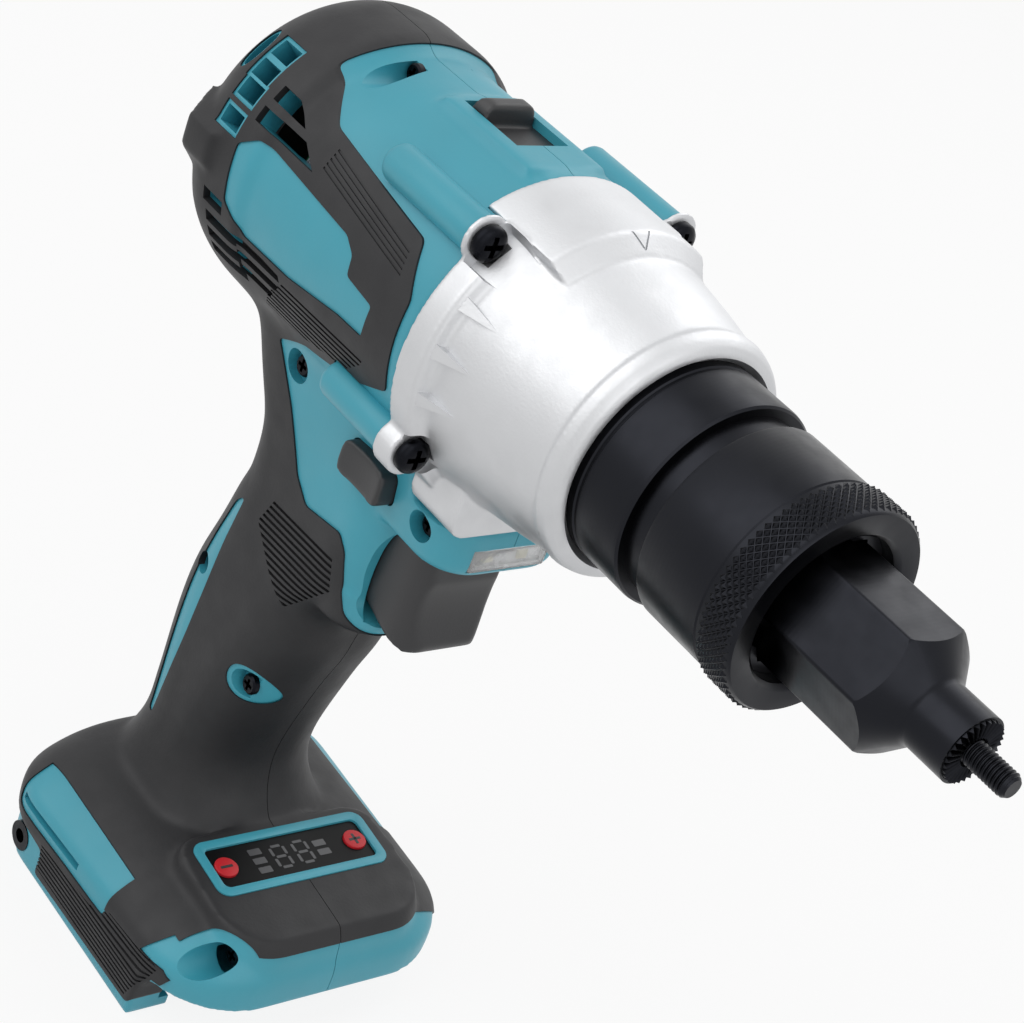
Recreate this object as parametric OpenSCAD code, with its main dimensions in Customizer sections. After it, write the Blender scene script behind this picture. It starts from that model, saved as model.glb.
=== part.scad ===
// Cordless rivet nut setter, the bare tool with no battery on its foot.
// The nose points along +X, +Z is up and -Y is the tool's right side.
// The foot's rails stand on z = 0, and the box of the whole tool is centred on x = 0 and y = 0.

/* [Overall] */
// Height of the tool axis above the feet of the rails
axis_h = 169; // [164:1:176]
// Running clearance on the radius of a sliding or turning fit
run_clear = 0.05; // [0.03:0.01:0.1]
// Open gap left between pieces that must not touch
open_gap = 0.3; // [0.25:0.05:0.4]

/* [Nose] */
// Diameter over the thread of the mandrel
mandrel_d = 4.9; // [3.9:0.1:5.9]
// Length of mandrel that stands out of the anvil
mandrel_out = 8.6; // [6:0.2:12]
// Diameter of the mandrel's plain shank inside the nose
shank_d = 8; // [7.4:0.2:8.6]
// Diameter of the anvil at its working face
anvil_d = 13.4; // [11:0.2:15]
// Length of the straight part of the anvil
anvil_len = 10.2; // [8:0.2:14]
// Length of the cone between anvil and hexagon
cone_len = 5.2; // [4:0.2:8]
// Size of the hexagon across its flats
hex_af = 23.2; // [22:0.2:24]
// Length of hexagon in front of the knurled ring
hex_out = 20.8; // [16:0.2:26]
// Length of hexagon sunk in the knurled ring
hex_sunk = 6; // [5:0.2:7]
// Diameter of the knurled ring
knurl_d = 42.8; // [42:0.2:45]
// Length of the knurled ring
knurl_len = 8.5; // [8:0.1:11]
// Diameter of the smooth part of the release sleeve
sleeve_d = 41.3; // [40.6:0.1:42]
// Length of the smooth part of the release sleeve
sleeve_len = 17; // [16:0.5:22]
// Wall of the release sleeve over the collar's neck
sleeve_wall = 1.4; // [1.2:0.1:1.6]
// Travel of the release sleeve towards the handle
sleeve_travel = 4; // [3:0.2:4.6]
// Diameter of the fixed collar behind the sleeve
collar_d = 43; // [42:0.2:44.4]
// Length of collar in front of the gear case
collar_show = 13; // [11:0.5:15]
// Stroke that pulls the mandrel back
pull_stroke = 7; // [4:0.5:8]

/* [Gear case] */
// Length of the gear case from the housing joint to its front rim
case_len = 47; // [46:0.5:50]
// Outer diameter of the gear case at its front rim
case_front_d = 49.2; // [48.4:0.2:51]
// Step from the motor housing down to the gear case behind its cone
case_step = 3; // [2:0.25:4]
// Height of the flange above the motor housing
flange_proud = 1; // [0.5:0.1:2]
// Length of the flange at the sides
flange_len = 7; // [5:0.5:9]
// Diameter of the screw bosses on the flange
boss_d = 10; // [9.4:0.2:11]
// Diameter of the gear case screws
case_screw_d = 4; // [3:0.2:4.4]
// Pitch diameter of the ring gear as a share of the motor housing
ring_share = 0.6; // [0.56:0.005:0.615]
// Teeth on the sun gear
sun_teeth = 12; // [12]
// Teeth on each planet gear
planet_teeth = 18; // [18]
// Width of the gear teeth
gear_w = 7; // [6:0.5:7]

/* [Motor] */
// Diameter of the stator as a share of the motor housing
stator_share = 0.8125; // [0.78:0.005:0.82]
// Diameter of the rotor as a share of the stator
rotor_share = 0.52; // [0.46:0.01:0.53]
// Air gap between rotor and stator
air_gap = 0.5; // [0.4:0.1:0.8]
// Diameter of the motor shaft
shaft_d = 5.6; // [5.2:0.2:6]
// Outer diameter of the shaft bearings
bearing_d = 16; // [14:0.5:17]
// Width of the shaft bearings
bearing_w = 5; // [4:0.5:5]
// Diameter of the cooling fan as a share of the stator
fan_share = 0.845; // [0.7:0.005:0.9]
// Gap between the cooling fan and the motor's sensor board
fan_gap = 8.4; // [5:0.2:12]
// Blades on the cooling fan
fan_blades = 11; // [7:1:15]

/* [Housing] */
// Diameter of the motor housing over its rubber
barrel_d = 64; // [63:0.5:67]
// Height of the swollen rubber tail above the motor housing
tail_swell = 1.25; // [0.75:0.25:2]
// Height of the tail's centre above the tool axis
tail_lift = 1; // [0:0.2:1.6]
// Length of the motor housing behind the housing joint
barrel_len = 76.5; // [74:0.5:78]
// Height of the side bumpers above the motor housing
bumper_proud = 2.8; // [2.4:0.2:4.4]
// Radius of the rounded rear edge as a share of the motor housing's diameter
tail_share = 0.235; // [0.16:0.005:0.27]
// Thickness of the rubber overmould
rubber_t = 1.6; // [1.2:0.1:2]
// Wall of the moulded shell under the rubber
wall = 2.6; // [2:0.1:3]
// Diameter of the screws that close the housing
shell_screw_d = 3; // [2.6:0.2:3.4]

/* [Grip] */
// Width of the grip at its slimmest
grip_w = 33; // [31:0.5:36]
// Width of the chin under the gear case
chin_w = 35; // [34:0.5:38]
// Height of the chin below the motor housing
chin_h = 12.5; // [11:0.5:14]

/* [Foot] */
// Length of the foot
foot_l = 82; // [80:0.5:84]
// Width of the foot
foot_w = 79; // [77:0.5:84]
// Distance of the foot's front lip in front of the housing joint
foot_front = 18; // [17:0.5:19]
// Width of the foot's front lip
lip_w = 75; // [70:0.5:77]
// Corner radius of the foot's rear corners seen from above
foot_round = 16; // [12:0.5:18]
// Corner radius of the front lip seen from above
lip_round = 21; // [18:0.5:24]
// Height of the rails below the foot's deck
rail_h = 10.3; // [9.5:0.1:11.5]
// Width of the channel that takes the battery
channel_w = 62; // [58:0.5:64]
// Width of the mouth between the rails' lips
mouth_w = 57; // [54:0.5:57.5]

/* [Controls] */
// Width of the trigger
trigger_w = 21.5; // [20:0.5:23.5]
// Travel of the trigger
trigger_travel = 7; // [5:0.5:7.2]
// Length of the direction lever from side to side
lever_span = 43; // [41:0.5:45]
// Travel of the direction lever to each side
lever_travel = 3; // [2:0.2:4]
// Width of the speed slider
slider_w = 12; // [10:0.2:13]
// Travel of the speed slider
slider_travel = 7; // [5:0.5:7]
// Width of the display bezel across the tool
display_w = 44.6; // [42:0.2:46]
// Depth of the display bezel along the tool
display_l = 15.4; // [14.6:0.2:17]
// Forward tilt of the display
display_tilt = 5; // [3:0.5:7]
// Diameter of the two display buttons
button_d = 5.4; // [4.6:0.2:6]
// Travel of the display buttons
button_travel = 0.5; // [0.3:0.1:0.6]

/* [Hidden] */
$fn = 48;

// Places along the tool axis, measured from the joint between gear case and housing
collar_front = case_len + collar_show;
sleeve_rear = collar_front + sleeve_travel + 0.5;
knurl_rear = sleeve_rear + sleeve_len;
knurl_front = knurl_rear + knurl_len;
hex_rear = knurl_front - hex_sunk;
hex_front = knurl_front + hex_out;
cone_front = hex_front + cone_len;
anvil_front = cone_front + anvil_len;
mandrel_tip = anvil_front + mandrel_out;
tool_x = (barrel_len - mandrel_tip) / 2;

// Nose barrel, release sleeve and the parts that run inside them
spout_r = hex_af / 2 + 0.2;
barrel_r = 14.5;
barrel_shoulder = hex_rear - open_gap - 8.7;
flange_t = 4;
flange_rear = case_len - 12;
bore_r = 8.5;
thread_r = 9.75;
thread_rear = hex_rear - 9;
cap_len = 2.5;
puller_front = thread_rear - open_gap - cap_len;
puller_len = 28;
puller_rear = puller_front - puller_len;
spigot_len = 8;
collar_nose = 3;
collar_collar = 2.5;
head_r = shank_d / 2 + 1.5;
head_len = 3;
head_front = puller_front - 2;
mandrel_rear = head_front - head_len - 8.7;
shank_front = hex_front - 15;
shank_relief = 0.45;
bore_relief = 0.35;
tip_bevel = 0.6;
web_rear = barrel_shoulder + sleeve_travel + 0.5;
web_front = hex_rear - open_gap;
recess_r = 15.3;
neck_r = sleeve_d / 2 - sleeve_wall - run_clear;
neck_wall = 1.2;
neck_front = web_rear - sleeve_travel - 3.7;

// Return spring of the release sleeve
spring_wire = 1.5;
spring_turns = 5;
spring_r = neck_r - neck_wall - spring_wire / 2 - open_gap;
spring_pitch = (web_rear - collar_front - spring_wire - 2 * open_gap) / spring_turns;

// Gear train and pull screw
ring_teeth = sun_teeth + 2 * planet_teeth;
tooth_m = ring_share * barrel_d / ring_teeth;
sun_r = tooth_m * sun_teeth / 2;
planet_r = tooth_m * planet_teeth / 2;
orbit_r = sun_r + planet_r;
ring_r = tooth_m * ring_teeth / 2;
ring_out = ring_r + 2.8;
gear_rear = 1.5;
gear_front = gear_rear + gear_w;
carrier_rear = gear_front + 0.5;
carrier_t = 4;
hub_front = carrier_rear + carrier_t + 3;
screw_r = 6;
nut_r = 11;
nut_front = flange_rear - 4;
nut_bearing_w = 6;
screw_rear = carrier_rear + carrier_t + 4;
flange_d = barrel_d + 2 * flange_proud;
case_rear_d = barrel_d - 2 * case_step;
web_r = 17;
web_start = 22;
land_len = 20;
land_half = 46;
land_slope = 3.5;
mark_len = 3.6;
mark_half = 1.8;
mark_w = 0.5;
mark_t = 0.4;
skirt_w = 38;
gusset_angles = [64, 82, 100];
pin_r = 2;

// Motor
stator_d = barrel_d * stator_share;
rotor_d = stator_d * rotor_share;
fan_d = stator_d * fan_share;
stator_front = -18;
coil_over = 4;
sensor_t = 1.6;
plate_rear = -3;
plate_front = 0.6;
spigot_r = barrel_d / 2 - rubber_t - wall - 0.9;
motor_bore = stator_d / 2 + 1.3;
tail_wall = rubber_t + 6.4;
swell_x = 26.5 - barrel_len;
tail_d = barrel_d + 2 * tail_swell;
tail_round = barrel_d * tail_share;
rear_seat = -barrel_len + tail_wall;
shaft_rear = rear_seat - bearing_w + 0.5;
fan_rear = rear_seat + 1.5;
fan_w = 8;
fan_front = fan_rear + fan_w + 1;
stator_rear = fan_front + fan_gap + sensor_t + coil_over;
tooth_w = 6;
yoke = 5;

// Grip, foot and display: heights from the tool axis, the grip's from the motor housing's underside
under = -barrel_d / 2;
chin_drop = chin_h - under;
foot_rear = foot_front - foot_l;
foot_z = -axis_h;
deck_z = foot_z + rail_h;
skin = rubber_t + wall;
display_x = -6.8;
display_z = foot_z + 29.4;
button_gap = 17;
opening_x = 2;
trigger_top = chin_drop + 0.4;
switch_front = -1 - trigger_travel - 0.4;
lever_x = -5;
lever_z = under - 3.5;
lever_l = 14;
lever_h = 8;
slider_rear = -27;
slider_len = 19;
slider_t = 1.5;
slider_edge = 1.3;
slider_z = motor_bore + 1.5;
tab_len = 6.5;
tab_top = barrel_d / 2 + 2.8;
lamp_z = under - 8;
lamp_w = 19;
lamp_h = 5.2;
chin_front = 20.4;
skirt_drop = 1 - under;
hook_x = foot_rear + 14;
hook_z = foot_z + 5.5;
insert_len = 7;
insert_r = 3.45;
hook_hole_r = 1.65;
rail_front = 2;
rail_end = 5;
rail_lip = 3;
rail_in = 0.6;
rail_side = foot_w / 2 - rail_in;
deck_t = 1.6;
board_t = 1.2;
board_rear = foot_rear + 18;
board_l = 40;
board_w = foot_w - 27;
can_r = 5;
can_h = 4.5;
can_gap = 16;
terminal_l = 10;
terminal_t = 1;
terminal_gap = 8;
block_rear = foot_rear + 14;
block_l = 28;
block_w = 44;
block_h = 4.6;
block_front = block_rear + block_l;
deck_room = 8.5;
panel_rear = foot_rear + 10;
panel_front = foot_rear + 48.5;
hook_plate = foot_rear + 23;
slot_rear = panel_rear + 1.5;
slot_front = panel_front - 12.5;
slot_z = foot_z + 14.6;
slot_h = 2;
slot_t = 1.2;
display_floor = -4.6;
bezel_w = 2.2;
bezel_t = 3.7;
window_t = 3.1;
button_t = 3.6;
lens_r = 40;
lens_rise = 0.2;
lamp_rear = 15.6;
lamp_board_t = 1.4;
switch_w = 18;
switch_l = 22;
switch_top = -chin_drop + 1;
switch_foot = under - 34;
plunger_r = 3;
plunger_z = under - 23;
plunger_l = 14;
trigger_front = 14.5;
trigger_round = 9;
finger_r = 19;
finger_x = 30;
finger_z = under - 25;
screw_end = 7.5;
bumper_r = barrel_d / 2 + bumper_proud;
bumper_x = 11 - barrel_len;
bumper_l = 13;
bumper_z = 1.5;
bumper_h = 12;

// Air openings: angle from the top, rear and front ends from the tail, half height, width of their frame
vent_list = [
  [44, 13, 19, 2, 0.8], [53, 13, 19, 2, 0.8], [61, 13.5, 19.5, 2, 0.8], [72, 13.5, 19.5, 1.8, 0.8],
  [48, 7, 10.5, 4.5, 0.8], [55, 23, 33, 1.7, 0], [64, 22.5, 41.5, 1.7, 0],
  [101, 15.5, 22.5, 1.5, 0], [109, 16.5, 27.5, 1.3, 0], [116, 16.5, 28.5, 1.3, 0], [123, 16.5, 29.5, 1.3, 0]
];

// Gear case bosses: angle from the top, head face, rear end of the ridge on the housing
boss_circle = barrel_d / 2 + 0.75;
case_bosses = [[45, 8, -17], [125, 12, -10]];
case_head_r = 3.6;
case_head_h = 2.4;
ridge_r = boss_d / 2 - 1;
saddle_w = 20;
// Housing screws: along, up, head seat from the middle, radius of the hole over the head
shell_screws = [
  [11, under - 5, 13, 3.2], [-33.8, under + 2, 16.2, 3.6], [-23, under - 71, 12, 3.6],
  [9.5, foot_z + 20.5, 21, 4.8], [-43, -under - 2.4, 7, 3.6], [-46.5, under - 56, 9, 2.4]
];
shell_head_r = 2.3;
shell_head_h = 2;

// Stations of the lofts, bottom to top: height, rear, front, half width, corner radius,
// and where the front differs its own half width and corner radius
grip_stations = [
  [foot_z + 21, -62, -8, grip_w / 2 + 8, 19],
  [foot_z + 30, -59, -17, grip_w / 2 + 3, 16],
  [foot_z + 38, -57.5, -21.5, grip_w / 2 + 1, 15],
  [foot_z + 48, -57.5, -22, grip_w / 2 + 0.5, 14.5],
  [foot_z + 67, -57.8, -17, grip_w / 2 + 0.5, 14.5],
  [under - 58, -56.8, -12.8, grip_w / 2 + 0.3, 14.5],
  [under - 46, -53.5, -9.6, grip_w / 2, 14],
  [under - 36, -50.5, 0, grip_w / 2, 13],
  [under - 28, -48, opening_x, grip_w / 2, 12],
  [under - 16, -48.5, opening_x + 0.5, grip_w / 2 + 0.7, 12],
  [under - 4, -55, opening_x + 1, grip_w / 2 + 2, 13],
  [under + 8, -61, opening_x + 1, grip_w / 2 + 3.5, 14]
];
chin_stations = [
  [-chin_drop, -30, chin_front - 1.5, chin_w / 2 - 2.5, 9],
  [-chin_drop + 2, -30, chin_front, chin_w / 2 - 1.2, 9],
  [-chin_drop + 9, -30, chin_front, chin_w / 2, 9],
  [under + 8, -30, chin_front, chin_w / 2 + 1.5, 9]
];
foot_stations = [for (s = [[rail_h, 0], [17, 0], [20.5, 3], [23.5, 7.5], [25.8, 13], [27.5, 20]])
  [foot_z + s[0], foot_rear + 0.25 * s[1], foot_front - 0.4 * s[1], foot_w / 2 - s[1],
    foot_round - 0.2 * s[1], lip_w / 2 - s[1], lip_round - 0.45 * s[1]]];
mound_stations = [
  [foot_z + 17, -45, foot_front - 1, 28, 12],
  [foot_z + 23.5, -44, foot_front - 1.4, 27, 12],
  [foot_z + 28, -42, foot_front - 4, 25.5, 11],
  [foot_z + 31, -41, foot_front - 6, 24, 10]
];

// Colour borders of the rubber, seen from the side
rubber_outline = [
  [-barrel_len - 5, 8 - under], [-50, 8 - under], [-50.5, -0.84 * under], [-38, -0.64 * under],
  [-3, -0.53 * under], [3, -0.25 * under], [4, 0.33 * under], [-8, 0.5 * under], [-28, 0.67 * under],
  [-41, under + 4], [-33, under - 7], [-26, under - 19], [-21, under - 23], [-9, under - 21],
  [-6.5, under - 24], [-5, under - 34], [-5, under - 40], [4, under - 44], [foot_front + 5, under - 48],
  [foot_front + 5, foot_z + 22.5], [11, foot_z + 21.5], [1, foot_z + 3.5],
  [hook_plate, foot_z + 2.5], [hook_plate, foot_z + 9], [foot_rear + 7, foot_z + rail_h + 0.5],
  [-barrel_len - 5, foot_z + rail_h + 0.5]
];
trigger_outline = [
  [-1, -trigger_top], [11, -trigger_top], [13.4, under - 34], [12.6, under - 36], [10.5, under - 37],
  [3, under - 34], [-1, under - 32.5]
];
grip_stripe = [
  [-39.5, under - 34], [-41.5, under - 46], [-42.3, under - 60], [-43.3, under - 72], [-44.8, under - 83],
  [-46.5, under - 97], [-48.5, under - 97], [-49, under - 83], [-48.8, under - 72], [-48.4, under - 60],
  [-46.5, under - 47], [-43, under - 37]
];
side_panel = [
  [-55, 7.7], [-50, 11], [-18.7, 8.8], [-15, 6.7], [-14, 3], [-5.1, 2], [-5.5, -4.7], [-13.7, -5],
  [-31, -7.6], [-47, -8.2], [-53.7, -4.1]
];

// Tools of the shop: frames, turned and extruded blanks
module tool() translate([tool_x, 0, axis_h]) children();

module turned(points) rotate([0, 90, 0]) rotate_extrude() polygon(points);

module rod(x0, x1, r) translate([x0, 0, 0]) rotate([0, 90, 0]) cylinder(h = x1 - x0, r = r);

module pipe(x0, x1, r, bore) difference() {
  rod(x0, x1, r);
  rod(x0 - 1, x1 + 1, bore);
}

module peg(x, z, y0, y1, r) translate([x, y0, z]) rotate([-90, 0, 0]) cylinder(h = y1 - y0, r = r);

module across(y0, y1) translate([0, y1, 0]) rotate([90, 0, 0]) linear_extrude(y1 - y0) children();

module ahead(x0, x1) translate([x0, 0, 0]) rotate([90, 0, 90]) linear_extrude(x1 - x0) children();

module block(x0, x1, y0, y1, z0, z1) translate([x0, y0, z0]) cube([x1 - x0, y1 - y0, z1 - z0]);

module round_rect(l, w, r) {
  square([l - 2 * r, w], center = true);
  square([l, w - 2 * r], center = true);
  for (sx = [-1, 1], sy = [-1, 1])
    translate([sx * (l / 2 - r), sy * (w / 2 - r)]) circle(r);
}

// Lofts through rounded rectangles
corner_steps = 4;
ring_n = 4 * (corner_steps + 1);
function arc(cx, cy, r, start) = [for (k = [0 : corner_steps])
  let (a = start + 90 * k / corner_steps) [cx + r * cos(a), cy + r * sin(a)]];
function front_w(s) = len(s) > 5 ? s[5] : s[3];
function front_r(s) = len(s) > 5 ? s[6] : s[4];
function ring(s, d) = let (r = s[4] - d, f = front_r(s) - d, x0 = s[1] + d + r, x1 = s[2] - d - f,
  w = s[3] - d - r, v = front_w(s) - d - f)
  [for (p = concat(arc(x1, v, f, 0), arc(x0, w, r, 90), arc(x0, -w, r, 180), arc(x1, -v, f, 270)))
    [p[0], p[1], s[0]]];
function blend(a, b, c, d, t) = 0.5 * (2 * b + (c - a) * t + (2 * a - 5 * b + 4 * c - d) * t * t
  + (3 * b - a - 3 * c + d) * t * t * t);
function smooth(s) = [for (i = [0 : len(s) - 2]) each
  [s[i], blend(s[max(i - 1, 0)], s[i], s[i + 1], s[min(i + 2, len(s) - 1)], 0.5)], s[len(s) - 1]];

module loft(stations, d) {
  rings = [for (s = stations) ring(s, d)];
  last = len(rings) - 1;
  sides = [for (i = [0 : last - 1], k = [0 : ring_n - 1])
    let (a = i * ring_n + k, b = i * ring_n + (k + 1) % ring_n)
      each [[a, a + ring_n, b + ring_n], [a, b + ring_n, b]]];
  foot = [for (k = [0 : ring_n - 1]) k];
  head = [for (k = [ring_n - 1 : -1 : 0]) last * ring_n + k];
  polyhedron([for (r = rings) each r], concat([foot, head], sides));
}

// Spur gear blanks with straight-sided teeth. Their half widths at root, pitch and tip are
// shares of the tooth spacing
solid_teeth = [0.3, 0.2, 0.1];
space_teeth = [0.4, 0.3, 0.2];
function teeth(n, root, pitch, tip, phase, w) = [for (i = [0 : n - 1], s = [[-w[0], root], [-w[1], pitch],
  [-w[2], tip], [w[2], tip], [w[1], pitch], [w[0], root]])
  let (a = phase + 360 * (i + s[0]) / n) [s[1] * cos(a), s[1] * sin(a)]];

module gear(n, phase, bore) ahead(gear_rear, gear_front) difference() {
  polygon(teeth(n, tooth_m * (n / 2 - 1.25), tooth_m * n / 2, tooth_m * (n / 2 + 0.95), phase, solid_teeth));
  circle(bore);
}

// One unbroken coil of wire along the tool axis, with its least gap to itself measured between turns
module coil(x0, r, wire, pitch, turns) {
  per_turn = 8;
  count = per_turn * turns;
  rings = [for (i = [0 : count]) let (a = 360 * i / per_turn) [for (k = [0 : 5]) let (q = 60 * k,
    out = r + wire / 2 * cos(q))
    [x0 + pitch * i / per_turn + wire / 2 * sin(q), out * cos(a), out * sin(a)]]];
  sides = [for (i = [0 : count - 1], k = [0 : 5])
    let (a = 6 * i + k, b = 6 * i + (k + 1) % 6) each [[a, b + 6, a + 6], [a, b, b + 6]]];
  ends = [[5, 4, 3, 2, 1, 0], [for (k = [0 : 5]) 6 * count + k]];
  near = min([for (i = [0 : per_turn - 1], p = rings[i], q = rings[i + per_turn]) norm(p - q)]);
  echo(least_gap_between_turns = near);
  polyhedron([for (g = rings) each g], concat(sides, ends));
}

// Nose
module mandrel() color("dimgray") tool() turned([
  [0, mandrel_rear], [shank_d / 2, mandrel_rear], [shank_d / 2, head_front - head_len],
  [head_r, head_front - head_len], [head_r, head_front], [shank_d / 2, head_front],
  [shank_d / 2, shank_front], [mandrel_d / 2 - shank_relief, shank_front],
  [mandrel_d / 2 - shank_relief, anvil_front],
  [mandrel_d / 2, anvil_front], [mandrel_d / 2, mandrel_tip - tip_bevel],
  [mandrel_d / 2 - tip_bevel, mandrel_tip], [0, mandrel_tip]
]);

module nosepiece() color("black") tool() difference() {
  union() {
    intersection() {
      turned([[0, hex_rear], [hex_af * 0.6, hex_rear], [hex_af * 0.6, hex_front - 0.4],
        [anvil_d / 2, cone_front], [anvil_d / 2, anvil_front], [0, anvil_front]]);
      ahead(hex_rear, anvil_front) hexagon(hex_af);
    }
    rod(thread_rear, hex_rear, thread_r - run_clear);
  }
  rod(thread_rear - 1, shank_front + 4, shank_d / 2 + 1);
  rod(thread_rear, anvil_front + 1, mandrel_d / 2 + bore_relief);
}

module hexagon(af) circle(af / sqrt(3), $fn = 6);

module release_sleeve() color("black") tool() difference() {
  union() {
    rod(sleeve_rear, knurl_rear, sleeve_d / 2);
    turned([[0, knurl_rear], [knurl_d / 2 - 0.5, knurl_rear], [knurl_d / 2, knurl_rear + 0.5],
      [knurl_d / 2, knurl_front - 0.8], [knurl_d / 2 - 0.8, knurl_front], [0, knurl_front]]);
  }
  rod(sleeve_rear - 1, web_rear, neck_r + run_clear);
  rod(sleeve_rear, knurl_front, spout_r + run_clear);
  turned([[0, web_front], [recess_r, web_front], [recess_r, knurl_front - 1], [recess_r + 1, knurl_front],
    [recess_r + 1, knurl_front + 1], [0, knurl_front + 1]]);
}

module lock_ring() color("silver") tool() difference() {
  rod(web_front, web_front + 2.5, recess_r - run_clear);
  ahead(web_front - 1, web_front + 4) {
    hexagon(hex_af + 0.6);
    rotate(30) hexagon(hex_af + 0.6);
  }
}

module sleeve_spring() color("silver") tool()
  coil(collar_front + spring_wire / 2 + open_gap, spring_r, spring_wire, spring_pitch, spring_turns);

module nose_collar() color("black") tool() difference() {
  union() {
    turned([[0, flange_rear + flange_t], [collar_d / 2, flange_rear + flange_t],
      [collar_d / 2, collar_front - 0.6], [collar_d / 2 - 0.6, collar_front], [0, collar_front]]);
    rod(collar_front, neck_front, neck_r);
  }
  rod(collar_front, neck_front + 1, neck_r - neck_wall);
  rod(flange_rear, collar_front + 1, barrel_r + run_clear);
}

module nose_barrel() color("gray") tool() difference() {
  union() {
    rod(flange_rear, flange_rear + flange_t, collar_d / 2);
    rod(flange_rear, barrel_shoulder, barrel_r);
    rod(flange_rear, web_front, spout_r);
  }
  rod(flange_rear - 1, thread_rear, bore_r);
  rod(thread_rear - open_gap, web_front + 1, thread_r);
}

module puller() color("silver") tool() difference() {
  rod(puller_rear, puller_front, bore_r - run_clear);
  rod(puller_rear - 1, puller_rear + spigot_len, screw_r - 1);
  rod(mandrel_rear - open_gap, puller_front, shank_d / 2 + run_clear);
  rod(head_front - head_len - open_gap, puller_front + 1, head_r + open_gap);
}

module mandrel_cap() color("gray") tool() difference() {
  union() {
    rod(puller_front, puller_front + cap_len, bore_r - 0.5);
    rod(head_front + open_gap, puller_front, head_r);
  }
  rod(head_front - 1, puller_front + cap_len + 1, shank_d / 2 + run_clear);
}

module pull_screw() color("silver") tool() {
  rod(screw_rear, puller_rear, screw_r);
  rod(puller_rear, puller_rear + spigot_len, screw_r - 1 - run_clear);
}

module screw_nut() color("gray") tool() pipe(hub_front, nut_front, nut_r, screw_r + run_clear);

module nut_bearing() color("silver") tool()
  pipe(nut_front - 2 - nut_bearing_w, nut_front - 2, web_r - run_clear, nut_r + run_clear);

module thrust_bearing() color("silver") tool()
  pipe(nut_front + open_gap, flange_rear, web_r - run_clear, screw_r + 1.5);

// Gear case and gear train
module at_bosses() for (b = case_bosses, side = [-1, 1])
  let ($head = b[1], $ridge = b[2])
    translate([0, side * boss_circle * sin(b[0]), boss_circle * cos(b[0])]) children();

// Small rib between the flange and the cone of the case
module gusset() across(-0.7, 0.7) translate([flange_len, case_rear_d / 2])
  polygon([[7, -2], [7, 1.8], [10, 1.4], [17, -2]]);

// Sector of the case's flat land, which reaches back into the housing
module land_wedge(half_w) ahead(plate_front, land_len + land_slope + 0.5)
  polygon([[0, 0], [half_w, barrel_d], [-half_w, barrel_d]]);

// Pointer engraved on the slope in front of the land
module pointer() translate([land_len, 0, barrel_d / 2]) rotate([0, atan(case_step / land_slope), 0])
  translate([0, 0, -mark_t]) linear_extrude(2 * mark_t) for (side = [-1, 1])
    polygon([[0, side * mark_half], [0, side * (mark_half + mark_w)], [mark_len, side * mark_w / 2],
      [mark_len, -side * mark_w / 2]]);

module gear_case() color("gainsboro") tool() difference() {
  union() {
    turned([[0, plate_front], [spigot_r, plate_front], [spigot_r, flange_len],
      [flange_d / 2, flange_len], [flange_d / 2, flange_len + 6], [flange_d / 2 - 1.5, flange_len + 8],
      [case_rear_d / 2 + 0.8, flange_len + 9], [case_rear_d / 2 - 0.8, flange_len + 19],
      [case_rear_d / 2 - 1.8, flange_len + 26], [case_front_d / 2 + 1.4, case_len - 4],
      [case_front_d / 2, case_len - 1.6], [case_front_d / 2 - 1.4, case_len], [0, case_len]]);
    intersection() {
      turned([[web_start, plate_front], [barrel_d / 2 + 0.3, plate_front], [barrel_d / 2, land_len],
        [case_rear_d / 2, land_len + land_slope], [web_start, land_len + land_slope]]);
      land_wedge(land_half);
    }
    at_bosses() rod(flange_len, $head, boss_d / 2);
    ahead(flange_len, chin_front + 0.6) difference() {
      translate([0, -skirt_drop / 2]) round_rect(skirt_w, skirt_drop, 4);
      circle(web_start);
    }
    for (a = gusset_angles, side = [-1, 1]) rotate([side * a, 0, 0]) gusset();
  }
  rod(0, web_start, ring_out + run_clear);
  rod(0, flange_rear, web_r);
  rod(flange_rear, case_len + 1, collar_d / 2 + run_clear);
  turned([[0, case_len - 1.2], [collar_d / 2, case_len - 1.2], [collar_d / 2 + 1.3, case_len + 0.1],
    [0, case_len + 0.1]]);
  at_bosses() {
    rod(0, $head + 1, case_screw_d / 2 + run_clear);
    rod($head, flange_len + 8.5, case_head_r + open_gap);
  }
  pointer();
}

module gear_case_screws() color("black") tool() at_bosses() {
  rod($head - 20, $head, case_screw_d / 2);
  turned([[0, $head], [case_head_r, $head], [case_head_r, $head + 1.4],
    [case_head_r - 1.2, $head + case_head_h], [0, $head + case_head_h]]);
}

module ring_gear() color("silver") tool() ahead(plate_front, gear_front + 0.5) difference() {
  circle(ring_out);
  polygon(teeth(ring_teeth, ring_r - 0.95 * tooth_m, ring_r, ring_r + 1.25 * tooth_m,
    180 / ring_teeth, space_teeth));
}

module planet_carrier() color("gray") tool() {
  pipe(carrier_rear, carrier_rear + carrier_t, orbit_r + pin_r + 1.5, screw_r + 0.3);
  pipe(carrier_rear, hub_front, nut_r, screw_r + 0.3);
  for (k = [0 : 2]) rotate([120 * k, 0, 0]) translate([0, orbit_r, 0])
    rod(gear_rear - 0.5, carrier_rear, pin_r);
}

module planet(k) color("silver") tool() rotate([120 * k, 0, 0]) translate([0, orbit_r, 0])
  gear(planet_teeth, 180 / planet_teeth, pin_r + run_clear);

module planet_gear_1() planet(0);

module planet_gear_2() planet(1);

module planet_gear_3() planet(2);

module sun_gear() color("silver") tool() gear(sun_teeth, 0, shaft_d / 2 + 0.02);

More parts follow.
